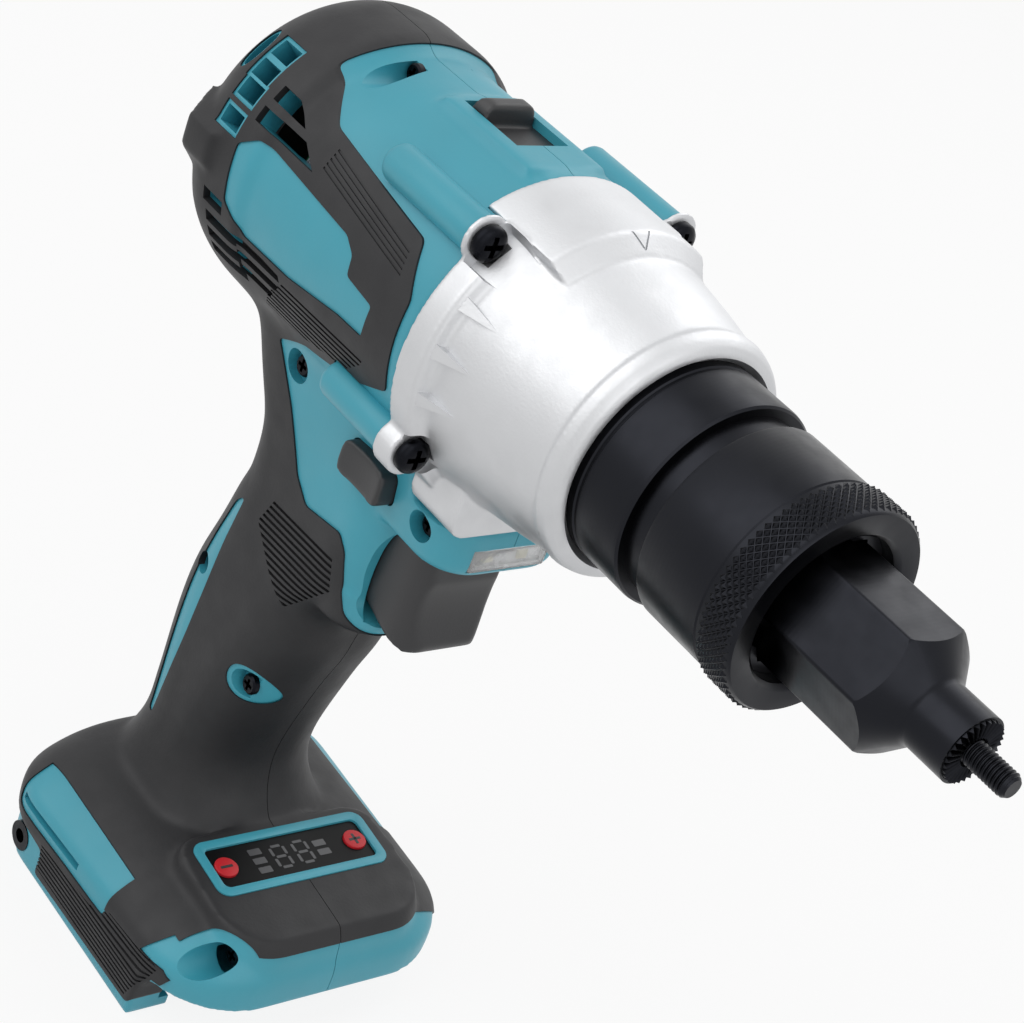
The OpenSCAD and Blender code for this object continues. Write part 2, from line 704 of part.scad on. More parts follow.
// Motor
module motor_plate() color("silver") tool() difference() {
  union() {
    rod(plate_rear, plate_front, spigot_r);
    rod(plate_rear - 3, plate_front, bearing_d / 2 + 3);
  }
  rod(plate_rear - 4, plate_rear - 3 + bearing_w, bearing_d / 2 + run_clear);
  rod(plate_rear, plate_front + 1, sun_r + 1.6);
}

module bearing(x0) difference() {
  rod(x0, x0 + bearing_w, bearing_d / 2);
  rod(x0 - 1, x0 + bearing_w + 1, shaft_d / 2 + run_clear);
  for (x = [x0, x0 + bearing_w]) pipe(x - 0.5, x + 0.5, bearing_d / 2 - 1.6, shaft_d / 2 + 1.6);
}

module front_bearing() color("silver") tool() bearing(plate_rear - 3);

module rear_bearing() color("silver") tool() bearing(rear_seat - bearing_w);

module motor_shaft() color("silver") tool() rod(shaft_rear, gear_front, shaft_d / 2);

module rotor() color("dimgray") tool() pipe(stator_rear, stator_front, rotor_d / 2, shaft_d / 2 + 0.02);

module stator() color("slategray") tool() ahead(stator_rear, stator_front) difference() {
  union() {
    difference() {
      circle(stator_d / 2);
      circle(stator_d / 2 - yoke);
    }
    for (k = [0 : 5]) rotate(60 * k + 30) {
      translate([rotor_d / 2, -tooth_w / 2]) square([(stator_d - rotor_d) / 2 - 2, tooth_w]);
      translate([rotor_d / 2, -tooth_w]) square([2.5, 2 * tooth_w]);
    }
  }
  circle(rotor_d / 2 + air_gap);
}

module windings() color("chocolate") tool() for (k = [0 : 5]) rotate([60 * k, 0, 0]) difference() {
  block(stator_rear - coil_over, stator_front + coil_over, -tooth_w / 2 - 2.5, tooth_w / 2 + 2.5,
    rotor_d / 2 + 3, stator_d / 2 - yoke - 1.2);
  block(stator_rear - run_clear, stator_front + run_clear, -tooth_w / 2 - run_clear,
    tooth_w / 2 + run_clear, rotor_d / 2, stator_d / 2);
}

module sensor_board() color("darkgreen") tool()
  pipe(stator_rear - coil_over - sensor_t, stator_rear - coil_over, stator_d / 2 - yoke, rotor_d / 2 - 3);

module fan() color("dimgray") tool() {
  pipe(fan_rear, fan_front, shaft_d / 2 + 3, shaft_d / 2 + 0.02);
  pipe(fan_rear + fan_w - 1.5, fan_rear + fan_w, fan_d / 2, shaft_d / 2 + 2);
  for (k = [0 : fan_blades - 1]) rotate([360 * k / fan_blades, 0, 0])
    block(fan_rear, fan_rear + fan_w - 1, -0.5, 0.5, shaft_d / 2 + 2.5, fan_d / 2 - 1);
}

// Moulded housing: outer form, less d all round
module barrel_form(d) {
  rod(swell_x, flange_len, barrel_d / 2 - d);
  translate([0, 0, tail_lift]) rotate([0, 90, 0]) rotate_extrude() {
    polygon([[0, swell_x + 6], [barrel_d / 2 - tail_lift - d - 1, swell_x + 6], [tail_d / 2 - d, swell_x],
      [tail_d / 2 - d, tail_round - barrel_len], [tail_d / 2 - tail_round, d - barrel_len],
      [0, d - barrel_len]]);
    translate([tail_d / 2 - tail_round, tail_round - barrel_len]) circle(tail_round - d);
  }
}

module bumpers(d) intersection() {
  rod(-barrel_len, swell_x, bumper_r - d);
  across(-foot_w, foot_w) translate([bumper_x, bumper_z])
    round_rect(bumper_l - 2 * d, bumper_h - 2 * d, 4 - d);
}

module chin_form(d) difference() {
  loft(chin_stations, d);
  block(flange_len, chin_front + 2, -chin_w, chin_w, -skirt_drop, 0);
}

module ridges(grow) at_bosses() {
  rod($ridge, flange_len, ridge_r + grow);
  translate([$ridge, 0, 0]) sphere(ridge_r + grow);
}

// Flattened seat around the speed slider
module saddle() intersection() {
  block(slider_rear - 3, -2, -saddle_w / 2, saddle_w / 2, slider_z, barrel_d / 2 + 0.6);
  rod(slider_rear - 4, -1, barrel_d / 2 + 1.6);
}

module body(d) {
  barrel_form(d);
  bumpers(d);
  chin_form(d);
  loft(smooth(grip_stations), d);
  loft(foot_stations, d);
  difference() {
    loft(mound_stations, d);
    at_display() translate([-foot_l / 2, -foot_w / 2, -d]) cube([foot_l, foot_w, 30]);
  }
  rails(d);
}

// The two rails that take the battery, closed at the rear
module rails(d) difference() {
  translate([foot_rear + rail_in + d, 0, foot_z]) linear_extrude(rail_h + 1) difference() {
    translate([(rail_front - foot_rear + foot_round) / 2, 0])
      round_rect(rail_front - foot_rear + foot_round, 2 * (rail_side - d), foot_round - d);
    translate([rail_front - foot_rear - rail_in - d, -foot_w]) square(2 * foot_w);
  }
  block(foot_rear + rail_end, foot_front, -channel_w / 2, channel_w / 2, foot_z + rail_lip, deck_z);
  block(foot_rear + rail_end, foot_front, -mouth_w / 2, mouth_w / 2, foot_z - 1, deck_z);
}

module at_display() translate([display_x, 0, display_z]) rotate([0, display_tilt, 0]) children();

module half(side) translate([-foot_l * 2, side < 0 ? -foot_w : 0, -axis_h - barrel_d])
  cube([foot_l * 4, foot_w, axis_h + 2 * barrel_d]);

module rubber_zone() difference() {
  across(-foot_w, foot_w) difference() {
    polygon(rubber_outline);
    polygon(side_panel);
    polygon(grip_stripe);
  }
  ridges(open_gap);
  for (side = [-1, 1])
    block(panel_rear, panel_front, side * foot_w / 2 - 6, side * foot_w / 2 + 6, foot_z + 14, foot_z + 26);
  peg(shell_screws[3][0], shell_screws[3][1], -foot_w, foot_w, shell_screws[3][3] + 1.6);
  peg(shell_screws[2][0], shell_screws[2][1], -foot_w, 0, shell_screws[2][3] + 1.1);
  vent_frames();
  at_display() translate([0, 0, -6]) linear_extrude(12) round_rect(display_l, display_w, 3);
}

// Air openings on both sides, or their moulded frames, which stand round the framed ones
module air(v, grow) for (side = [-1, 1]) rotate([side * v[0], 0, 0]) translate([-barrel_len, 0, 0])
  block(v[1] - grow, v[2] + grow, -v[3] - grow, v[3] + grow, fan_d / 2, barrel_d);

module vents() for (v = vent_list) air(v, 0);

module vent_frames() for (v = vent_list) if (v[4] > 0) air(v, v[4]);

module hollow() {
  rod(rear_seat, plate_rear, motor_bore);
  rod(plate_rear, chin_front + 1, spigot_r + run_clear);
  rod(rear_seat - bearing_w, 0, bearing_d / 2 + run_clear);
  difference() {
    loft(grip_stations, skin);
    block(foot_rear, foot_front, -foot_w, foot_w, foot_z, deck_z + deck_t);
  }
  translate([(foot_rear + foot_front) / 2 + 1, 0, deck_z + deck_t]) linear_extrude(deck_room)
    round_rect(foot_l - 16, foot_w - 17, 10);
  block(switch_front, lamp_rear - 0.6, -12, 12, -chin_drop + 2, under - 4);
}

// Ribs that hold the stator and the trigger switch
module ribs() {
  for (x = [stator_rear - 1, stator_front - 3]) pipe(x, x + 4, motor_bore + 1, stator_d / 2 + run_clear);
  for (side = [-1, 1], x = [switch_front - 20, switch_front - 6])
    block(x, x + 2, side < 0 ? -grip_w / 2 : switch_w / 2, side < 0 ? -switch_w / 2 : grip_w / 2,
      switch_foot, switch_top);
}

module openings() {
  across(-trigger_w / 2 - open_gap, trigger_w / 2 + open_gap)
    polygon([[switch_front, -trigger_top + open_gap], [foot_l, -trigger_top + open_gap],
      [foot_l, under - 48], [8, under - 40], [0, under - 37], [switch_front, under - 34]]);
  block(lever_x - lever_l / 2 - open_gap, lever_x + lever_l / 2 + open_gap, -foot_w, foot_w,
    lever_z - lever_h / 2 - run_clear, lever_z + lever_h / 2 + run_clear);
  block(slider_rear - open_gap, slider_rear + tab_len + slider_travel + open_gap + 3,
    -slider_w / 2 - open_gap, slider_w / 2 + open_gap, slider_z, barrel_d);
  block(slider_rear - open_gap, slider_rear + slider_len + slider_travel + open_gap,
    -slider_w / 2 - slider_edge - run_clear, slider_w / 2 + slider_edge + run_clear,
    slider_z - run_clear, slider_z + slider_t + run_clear);
  block(lamp_rear, foot_l, -lamp_w / 2 - run_clear, lamp_w / 2 + run_clear,
    lamp_z - lamp_h / 2 - run_clear, lamp_z + lamp_h / 2 + run_clear);
  at_display() translate([0, 0, display_floor]) linear_extrude(10)
    round_rect(display_l + 2 * run_clear, display_w + 2 * run_clear, 3);
  at_bosses() rod(-14, chin_front, case_screw_d / 2 + run_clear);
  land_wedge(land_half + open_gap);
  for (side = [-1, 1]) {
    hook_peg(side, foot_w, insert_r + run_clear);
    block(slot_rear, slot_front, side < 0 ? -foot_w : foot_w / 2 - slot_t,
      side < 0 ? slot_t - foot_w / 2 : foot_w, slot_z, slot_z + slot_h);
  }
}

module hook_peg(side, out, r) peg(hook_x, hook_z, side < 0 ? -out : rail_side - insert_len,
  side < 0 ? insert_len - rail_side : out, r);

module screw_holes() for (s = shell_screws) {
  peg(s[0], s[1], -foot_w, screw_end, shell_screw_d / 2 + run_clear);
  peg(s[0], s[1], -foot_w, -s[2], s[3]);
}

module cuts() {
  openings();
  vents();
  screw_holes();
}

module shell(side) color("cadetblue") tool() difference() {
  intersection() {
    half(side);
    union() {
      body(0);
      ridges(0);
      saddle();
    }
  }
  difference() {
    rubber_zone();
    body(rubber_t);
  }
  difference() {
    hollow();
    ribs();
  }
  cuts();
}

module rubber(side) color("dimgray") tool() difference() {
  intersection() {
    half(side);
    body(0);
    rubber_zone();
  }
  body(rubber_t);
  cuts();
}

module housing_right() shell(-1);

module housing_left() shell(1);

module overmould_right() rubber(-1);

module overmould_left() rubber(1);

module housing_screws() color("black") tool() for (s = shell_screws) {
  peg(s[0], s[1], -s[2], screw_end, shell_screw_d / 2);
  peg(s[0], s[1], -s[2] - shell_head_h, -s[2], shell_head_r);
}

// Controls
module trigger() color("dimgray") tool() {
  intersection() {
    across(-trigger_w / 2, trigger_w / 2) difference() {
      polygon(trigger_outline);
      translate([finger_x, finger_z]) circle(finger_r);
    }
    translate([trigger_front - trigger_w, 0, -2 * chin_drop]) linear_extrude(chin_drop + 10)
      round_rect(2 * trigger_w, trigger_w, trigger_round);
  }
  raised(plunger_z) rod(switch_front - 5, 0, plunger_r);
}

module raised(z) translate([0, 0, z]) children();

module trigger_switch() color("black") tool() difference() {
  block(switch_front - switch_l, switch_front, -switch_w / 2, switch_w / 2, switch_foot, switch_top);
  raised(plunger_z) rod(switch_front - plunger_l, switch_front + 1, plunger_r + run_clear);
}

module direction_lever() color("dimgray") tool() across(-lever_span / 2, lever_span / 2)
  translate([lever_x, lever_z]) round_rect(lever_l, lever_h, 2);

module speed_slider() color("dimgray") tool() {
  block(slider_rear, slider_rear + slider_len, -slider_w / 2 - slider_edge, slider_w / 2 + slider_edge,
    slider_z, slider_z + slider_t);
  across(-slider_w / 2, slider_w / 2) translate([slider_rear, 0]) polygon([[0, slider_z], [tab_len, slider_z],
    [tab_len - 0.5, tab_top - 0.8], [tab_len - 1.5, tab_top], [1.5, tab_top], [0, tab_top - 1.5]]);
}

module lamp_lens() color("white") tool() intersection() {
  block(lamp_rear + lamp_board_t, chin_front, -lamp_w / 2, lamp_w / 2,
    lamp_z - lamp_h / 2, lamp_z + lamp_h / 2);
  translate([chin_front - lens_rise - lens_r, 0, lamp_z]) cylinder(h = 2 * lamp_h, r = lens_r, center = true);
}

module lamp_board() color("darkgreen") tool()
  block(lamp_rear, lamp_rear + lamp_board_t, -lamp_w / 2, lamp_w / 2,
    lamp_z - lamp_h / 2, lamp_z + lamp_h / 2);

module display_bezel() color("cadetblue") tool() at_display() translate([0, 0, display_floor + board_t])
  linear_extrude(bezel_t) difference() {
    round_rect(display_l, display_w, 3);
    round_rect(display_l - 2 * bezel_w, display_w - 2 * bezel_w, 1.5);
  }

module display_window() color("black") tool() at_display() translate([0, 0, display_floor + board_t])
  linear_extrude(window_t) difference() {
    round_rect(display_l - 2 * bezel_w, display_w - 2 * bezel_w, 1.5);
    for (side = [-1, 1]) translate([0, side * button_gap]) circle(button_d / 2 + run_clear);
  }

module display_board() color("darkgreen") tool() at_display() translate([0, 0, display_floor])
  linear_extrude(board_t) round_rect(display_l, display_w, 3);

module button(side) color("red") tool() at_display()
  translate([0, side * button_gap, display_floor + board_t + button_travel + 0.1])
    cylinder(h = button_t - button_travel, r = button_d / 2);

module minus_button() button(-1);

module plus_button() button(1);

// Foot
module controller_board() color("darkgreen") tool() {
  block(board_rear, board_rear + board_l, -board_w / 2, board_w / 2, deck_z + deck_t,
    deck_z + deck_t + board_t);
  for (k = [-1 : 1]) translate([board_rear + 2 * can_r, k * can_gap, deck_z + deck_t + board_t])
    cylinder(h = can_h, r = can_r);
}

module terminal_block() color("black") tool()
  block(block_rear, block_front, -block_w / 2, block_w / 2, deck_z - block_h, deck_z);

module terminals() color("goldenrod") tool() for (k = [-2, -1, 1, 2])
  block(block_front, block_front + terminal_l, k * terminal_gap - terminal_t / 2,
    k * terminal_gap + terminal_t / 2, deck_z - block_h + 1, deck_z);

module hook_inserts() color("silver") tool() difference() {
  for (side = [-1, 1]) hook_peg(side, rail_side - 0.2, insert_r);
  peg(hook_x, hook_z, -foot_w, foot_w, hook_hole_r);
}

mandrel();
nosepiece();
release_sleeve();
lock_ring();
sleeve_spring();
nose_collar();
nose_barrel();
puller();
mandrel_cap();
pull_screw();
screw_nut();
nut_bearing();
thrust_bearing();
gear_case();
gear_case_screws();
ring_gear();
planet_carrier();
planet_gear_1();
planet_gear_2();
planet_gear_3();
sun_gear();
motor_plate();
front_bearing();
rear_bearing();
motor_shaft();
rotor();
stator();
windings();
sensor_board();
fan();
housing_right();
housing_left();
overmould_right();
overmould_left();
housing_screws();
trigger();
trigger_switch();
direction_lever();
speed_slider();
lamp_lens();
lamp_board();
display_bezel();
display_window();
display_board();
minus_button();
plus_button();
controller_board();
terminal_block();
terminals();
hook_inserts();
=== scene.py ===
"""Looks of a cordless rivet nut setter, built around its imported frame.

Shapes are made in millimetres from the joint between gear case and housing: x along the nose,
z up from the tool axis. place() then moves each finished piece into the frame, in metres.
"""
import math

import bmesh
import bpy
import numpy as np
from bpy.props import FloatProperty, FloatVectorProperty, IntProperty, PointerProperty
from mathutils import Matrix, Vector


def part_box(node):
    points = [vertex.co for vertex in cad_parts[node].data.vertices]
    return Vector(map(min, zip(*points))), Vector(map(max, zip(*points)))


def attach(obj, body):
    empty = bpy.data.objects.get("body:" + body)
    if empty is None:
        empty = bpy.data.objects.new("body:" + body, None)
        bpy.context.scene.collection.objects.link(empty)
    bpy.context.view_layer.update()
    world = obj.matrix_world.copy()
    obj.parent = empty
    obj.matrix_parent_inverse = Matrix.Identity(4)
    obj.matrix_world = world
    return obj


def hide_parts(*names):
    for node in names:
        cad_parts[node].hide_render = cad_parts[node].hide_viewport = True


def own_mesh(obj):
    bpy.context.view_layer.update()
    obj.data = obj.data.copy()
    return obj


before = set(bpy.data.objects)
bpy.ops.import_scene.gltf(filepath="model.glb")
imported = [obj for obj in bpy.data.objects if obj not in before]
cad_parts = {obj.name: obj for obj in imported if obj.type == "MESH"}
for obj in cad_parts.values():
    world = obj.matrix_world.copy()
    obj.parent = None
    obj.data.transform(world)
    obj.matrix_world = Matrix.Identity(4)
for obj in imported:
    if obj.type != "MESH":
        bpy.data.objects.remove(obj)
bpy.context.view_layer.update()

bl_info = {
    "name": "Rivet nut setter",
    "version": (1, 0, 0),
    "blender": (4, 5, 0),
    "location": "3D View > Sidebar > Nut setter",
    "description": "Builds the looks of a cordless rivet nut setter around its frame",
    "category": "Object",
}

MM = 0.001
SIDES = (-1, 1)  # right, left
MANDREL_TIP = 134.8
TIP_LOW, TIP_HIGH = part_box("mandrel")
TO_FRAME = (Matrix.Translation((TIP_HIGH.x - MANDREL_TIP * MM, 0, (TIP_LOW.z + TIP_HIGH.z) / 2))
            @ Matrix.Scale(MM, 4))

# Sections of the moulded body: height, rear, front, half width, corner radius,
# and for the foot the half width and corner radius at the front
GRIP = [
    (-148, -62, -8, 24.5, 19), (-139, -59, -17, 19.5, 16), (-131, -57.5, -21.5, 17.5, 15),
    (-121, -57.5, -22, 17, 14.5), (-102, -57.8, -17, 17, 14.5), (-90, -56.8, -12.8, 16.8, 14.5),
    (-78, -53.5, -9.6, 16.5, 14), (-68, -50.5, 0, 16.5, 13), (-60, -48, 2, 16.5, 12),
    (-48, -48.5, 2.5, 17.2, 12), (-36, -55, 3, 18.5, 13), (-24, -61, 3, 20, 14),
]
CHIN = [(-44.5, -30, 18.9, 15, 9), (-42.5, -30, 20.4, 16.3, 9), (-35.5, -30, 20.4, 17.5, 9),
        (-24, -30, 20.4, 19, 9)]
LIP = [(-73.2, -30, -1, 13.6, 9), (-71.8, -30, 2, 14.8, 10), (-64, -30, 3, 16, 11)]
FLOOR_DROP = 169  # from the tool axis to the floor
FOOT_STEPS = [(10.3, 0), (17, 0), (20.5, 3), (23.5, 7.5), (25.8, 13), (27.5, 20)]
FOOT = [(h - FLOOR_DROP, -64 + 0.25 * s, 18 - 0.4 * s, 39.5 - s, 16 - 0.2 * s, 37.5 - s, 21 - 0.45 * s)
        for h, s in FOOT_STEPS]
MOUND = [(-152, -20, 17, 28, 8, 28, 12), (-145.5, -19, 16.6, 26.3, 8, 26.3, 12),
         (-141, -17.5, 14, 25.8, 7, 25.8, 11), (-138, -16.5, 12, 25.2, 6, 25.2, 10)]

# Colour borders seen from the side
RUBBER = [
    (-81.5, 40), (-47, 40), (-49.8, 27.5), (-38, 20.5), (-3, 17), (3, 8), (4, -10.5), (-8, -16), (-28, -21.5),
    (-41, -28), (-33, -39), (-26, -51), (-21, -55), (-9, -53), (-6.5, -56), (-5, -63), (-3.2, -69),
    (0.4, -72), (6, -76), (23, -80), (23, -144.6), (12.5, -145), (1, -165.5), (-41, -166.5), (-41, -160),
    (-57, -158.2), (-81.5, -158.2),
]
SIDE_PANEL = [(-55, 7.7), (-50, 11), (-18.7, 8.8), (-15, 6.7), (-14, 3), (-5.1, 2), (-5.5, -4.7), (-13.7, -5),
              (-31, -7.6), (-47, -8.2), (-53.7, -4.1)]
GRIP_STRIPE = [(-39.5, -66), (-41.5, -78), (-42.3, -92), (-43.3, -104), (-44.8, -115), (-46.5, -129),
               (-48.5, -129), (-49, -115), (-48.8, -104), (-48.4, -92), (-46.5, -79), (-43, -69)]
FOOT_PANEL = [(-54, -156.2), (-15.5, -156.2), (-15.5, -143), (-54, -143)]
BASE_PATCH = [(1.5, -147.3), (-1.8, -153), (9, -153.2), (9.5, -148.5)]
# Grooves in the rubber: share of the groove depth, outline, middle of the first groove, step, count, width
PADS = [
    # the grip's pad
    (1.0, [(-30.2, -60.1), (-33.2, -67.3), (-25.4, -74.3), (-18.6, -78.8), (-7.1, -66.3), (-8.8, -58.8)],
     (-19, -60.2), (0.08, -1.38), 14, 0.7),
    # the band over the side panel
    (0.4, [(-33.5, 18.5), (-4, 15), (-2, 9.5), (-33.5, 13.2)], (-17, 15.9), (-0.12, -0.89), 5, 0.4),
    # the ribs under the side panel
    (0.8, [(-32, -9.8), (-4, -8.7), (-4.2, -10), (-9.6, -14.4), (-29.6, -19.4), (-41.7, -20), (-38, -15)],
     (-18, -9.9), (0.045, -1.15), 9, 0.5),
    # the foot's pad
    (0.8, [(-41, -158.3), (-20, -156.9), (-17.5, -155), (-13.5, -153.6), (3, -153), (4.2, -153.8),
           (-0.5, -164.8), (-41, -165)], (-18, -153.6), (0.02, -1.1), 11, 0.5),
    # the blind air slots
    (2.3, [(-49, -8.6), (-34, -9.2), (-33.2, -11), (-39, -17.5), (-49, -17.5)],
     (-42, -9.9), (0.1, -2.9), 3, 1.7),
]

# Openings and fixings
OUT = 60  # how far across the cutters reach, clear of the sides
RUBBER_DEPTH, GRIP_WALL = 1.6, 4.2
SEAM = 0.08  # half the gap between the halves
GROOVE_REACH = 40
TRIGGER = [(-4.8, -44.9), (11, -44.9), (13.4, -66), (12.6, -68), (10.5, -69), (3, -67), (-4.8, -64.4)]
TRIGGER_MOUTH = [(-8.4, -44.6), (82, -44.6), (82, -80), (8, -72), (0, -69), (-8.4, -66)]
TRIGGER_RIM = [(3, -44.6), (0, -47.5), (-1.5, -52), (-2.1, -58), (-1.9, -63), (-1.2, -67), (0.8, -69.7),
               (8, -72.3), (82, -80.3), (82, -44.6)]
# Air openings: angle from the top, rear, front, half height, width of the shell's frame,
# slant of the front end
VENTS = [(44, -63.5, -57.5, 2, 0.8, 0), (53, -63.5, -57.5, 2, 0.8, 0), (61, -63, -57, 2, 0.8, 0),
         (72, -63, -57, 1.8, 0.8, 0), (48, -69.5, -66, 4.5, 0.8, 0), (55, -53.5, -43.5, 1.7, 0, 5),
         (64, -54, -35, 1.7, 0, 6), (101, -61, -54, 1.5, 0, 0), (109, -60, -49, 1.3, 0, 0),
         (116, -60, -48, 1.3, 0, 0), (123, -60, -47, 1.3, 0, 0)]
# Bosses of the gear case: across, up, face under the screw head, rear end of the housing's ridge
BOSSES = [(side * across, up, head, rear)
          for across, up, head, rear in ((23.16, 23.16, 8, -17), (26.83, -18.78, 12, -10)) for side in SIDES]
BOSS_BORE = 2.05
# Screw holes in the right half: along, up, head seat, hole radius
SHELL_SCREWS = [(11, -37, 13, 3.2), (-33.8, -30, 16.2, 3.6), (-23, -103, 12, 3.6), (9.5, -148.5, 21, 3.6),
                (-43, 29.2, 5, 2.8), (-46.5, -88, 9, 2.4)]
# The display's tilted plane, and the length, width and corner radius of bezel and window
DISPLAY = Matrix.Translation((-6.8, 0, -139.6)) @ Matrix.Rotation(math.radians(5), 4, "Y")
DISPLAY_SIZE, WINDOW_SIZE = (15.4, 44.6, 3), (11, 40.2, 1.5)
BUTTON_ACROSS = 17

# The photo's camera, fitted to the round steps of the nose
FOCAL_PX, PHOTO_PX, SENSOR_MM = 2411.99, 1024, 36
EYE = (0.25549, -0.29608, 0.36082)
VIEW = (42.2025, 29.2142, 21.716)  # degrees to the right of the nose, above it, and of roll
# Lamps: place, size, power
LAMPS = {"key": ((-0.35, -0.75, 0.95), 1.2, 6.0), "fill": ((0.9, -0.2, 0.6), 0.9, 2.5),
         "back": ((-0.2, 0.8, 0.9), 0.8, 3.0)}
LAMP_AIM = (0, 0, 0.1)
FLOOR_REACH = 6.0
PAPER_GLOW = 0.88  # share of plain white in what the camera sees of the floor
AMBIENT = 0.4  # what the white surroundings give to the surfaces


# Colours and sizes

def linear(code):
    """Turns an sRGB hex code into the linear values that shaders take."""
    parts = [int(code[i:i + 2], 16) / 255 for i in (1, 3, 5)]
    return tuple(c / 12.92 if c <= 0.04045 else ((c + 0.055) / 1.055) ** 2.4 for c in parts)


def colour(title, text, code):
    return FloatVectorProperty(name=title, description=text, subtype="COLOR", size=3, min=0, max=1,
                               default=linear(code))


class NutSetterColours(bpy.types.PropertyGroup):
    """Colours of the tool's finishes"""
    shell: colour("Shell", "Moulded shell, dyed through", "#3F9FB2")
    rubber: colour("Rubber", "Soft rubber moulded over the shell", "#222224")
    casting: colour("Casting", "Blasted and lacquered die casting", "#CDCED0")
    black: colour("Black steel", "Blackened steel of the nose", "#25262A")
    button: colour("Buttons", "Silicone buttons of the display", "#C8202A")


class NutSetterSizes(bpy.types.PropertyGroup):
    """Sizes of the tool's surface detail, in millimetres"""
    grain: FloatProperty(name="Mesh grain", description="Spacing of the points on the moulded body",
                         default=0.8, min=0.5, max=2)
    proud: FloatProperty(name="Rubber step", description="Height of the rubber above the shell",
                         default=0.4, min=0.1, max=0.8)
    groove: FloatProperty(name="Groove depth", description="Depth of the grip grooves", default=0.6,
                          min=0.2, max=1)
    knurl_count: IntProperty(name="Knurl points", description="Points round the knurled ring",
                             default=70, min=60, max=140)
    knurl_depth: FloatProperty(name="Knurl depth", description="Height of the knurl's points", default=0.6,
                               min=0.2, max=0.8)
    serrations: IntProperty(name="Serrations", description="Teeth on the face of the anvil", default=30,
                            min=16, max=48)
    thread_pitch: FloatProperty(name="Thread pitch", description="Pitch of the mandrel's thread", default=0.8,
                                min=0.5, max=1)


# Mesh tools

def blank(points, faces):
    """A loose working solid with its faces turned outwards."""
    mesh = bpy.data.meshes.new("blank")
    mesh.from_pydata([tuple(p) for p in points], [], [list(f) for f in faces])
    obj = bpy.data.objects.new("blank", mesh)
    bpy.context.scene.collection.objects.link(obj)
    bm = bmesh.new()
    bm.from_mesh(mesh)
    bmesh.ops.remove_doubles(bm, verts=bm.verts, dist=1e-5)
    bmesh.ops.recalc_face_normals(bm, faces=bm.faces)
    bm.to_mesh(mesh)
    bm.free()
    return obj


def bake(obj):
    """Turns what the modifiers make into the object's own mesh."""
    graph = bpy.context.evaluated_depsgraph_get()
    mesh = bpy.data.meshes.new_from_object(obj.evaluated_get(graph), depsgraph=graph)
    obj.modifiers.clear()
    old, obj.data = obj.data, mesh
    bpy.data.meshes.remove(old)
    if not mesh.polygons:
        raise RuntimeError(f"{obj.name} came out empty")
    return obj


def discard(*objs):
    for obj in objs:
        mesh = obj.data
        bpy.data.objects.remove(obj)
        bpy.data.meshes.remove(mesh)


def moved(obj, matrix):
    obj.data.transform(matrix)
    return obj


def combine(target, tool, operation="DIFFERENCE", keep=False):
    """Cuts, joins or intersects two closed solids."""
    mod = target.modifiers.new("combine", "BOOLEAN")
    mod.operation = operation
    mod.solver = "MANIFOLD"
    mod.object = tool
    bake(target)
    if not keep:
        discard(tool)
    return target


def union(whole, *objs):
    for obj in objs:
        combine(whole, obj, "UNION")
    return whole


def cut(whole, *tools):
    for tool in tools:
        combine(whole, tool)
    return whole


def copy(obj):
    twin = bpy.data.objects.new(obj.name, obj.data.copy())
    bpy.context.scene.collection.objects.link(twin)
    return twin


def skin(rings):
    """A closed solid over rings with equally many points."""
    n, last = len(rings[0]), len(rings) - 1
    sides = [(i * n + k, i * n + (k + 1) % n, (i + 1) * n + (k + 1) % n, (i + 1) * n + k)
             for i in range(last) for k in range(n)]
    ends = [range(n), range((last + 1) * n - 1, last * n - 1, -1)]
    return blank([p for ring in rings for p in ring], ends + sides)


def prism(outline, start, end, axis):
    """An outline drawn along one axis: (y, z) along x, (x, z) along y or (x, y) along z."""
    at = "xyz".index(axis)
    return skin([[(*p[:at], t, *p[at:]) for p in outline] for t in (start, end)])


def block(x0, x1, y0, y1, z0, z1):
    return prism([(x0, z0), (x1, z0), (x1, z1), (x0, z1)], y0, y1, "y")


def turned(profile, steps=128, across=0.0, up=0.0):
    """A profile of (radius, along) turned round the nose's direction. A radius of 0 closes an end."""
    points, rows = [], []
    for radius, along in profile:
        count = steps if radius else 1
        rows.append(list(range(len(points), len(points) + count)))
        points += [(along, across + radius * math.cos(2 * math.pi * k / steps),
                    up + radius * math.sin(2 * math.pi * k / steps)) for k in range(count)]
    faces = []
    for low, high in zip(rows, rows[1:] + rows[:1]):
        if len(low) > 1 or len(high) > 1:
            for k in range(steps):
                quad = [low[k % len(low)], low[(k + 1) % len(low)],
                        high[(k + 1) % len(high)], high[k % len(high)]]
                faces.append(list(dict.fromkeys(quad)))
    return blank(points, faces)


def rod(start, end, radius, across=0.0, up=0.0, steps=96):
    return turned([(0, start), (radius, start), (radius, end), (0, end)], steps, across, up)


def arc(radius, start, end, steps, x=0.0, y=0.0):
    """Points on an arc between two angles in degrees."""
    return [(x + radius * math.cos(a), y + radius * math.sin(a))
            for a in (math.radians(start + (end - start) * k / steps) for k in range(steps + 1))]


def peg(x, z, y0, y1, radius, steps=48):
    return prism(arc(radius, 0, 360, steps, x, z)[:-1], y0, y1, "y")


def rounded(outline, radius, steps=5):
    """Rounds the corners of an outline."""
    made = []
    n = len(outline)
    for i in range(n):
        before, here, after = (Vector(outline[(i + k) % n]) for k in (-1, 0, 1))
        reach = min(radius, 0.45 * (before - here).length, 0.45 * (after - here).length)
        a = here + (before - here).normalized() * reach
        b = here + (after - here).normalized() * reach
        for k in range(steps + 1):
            t = k / steps
            made.append(tuple(a * (1 - t) ** 2 + here * 2 * t * (1 - t) + b * t * t))
    return made


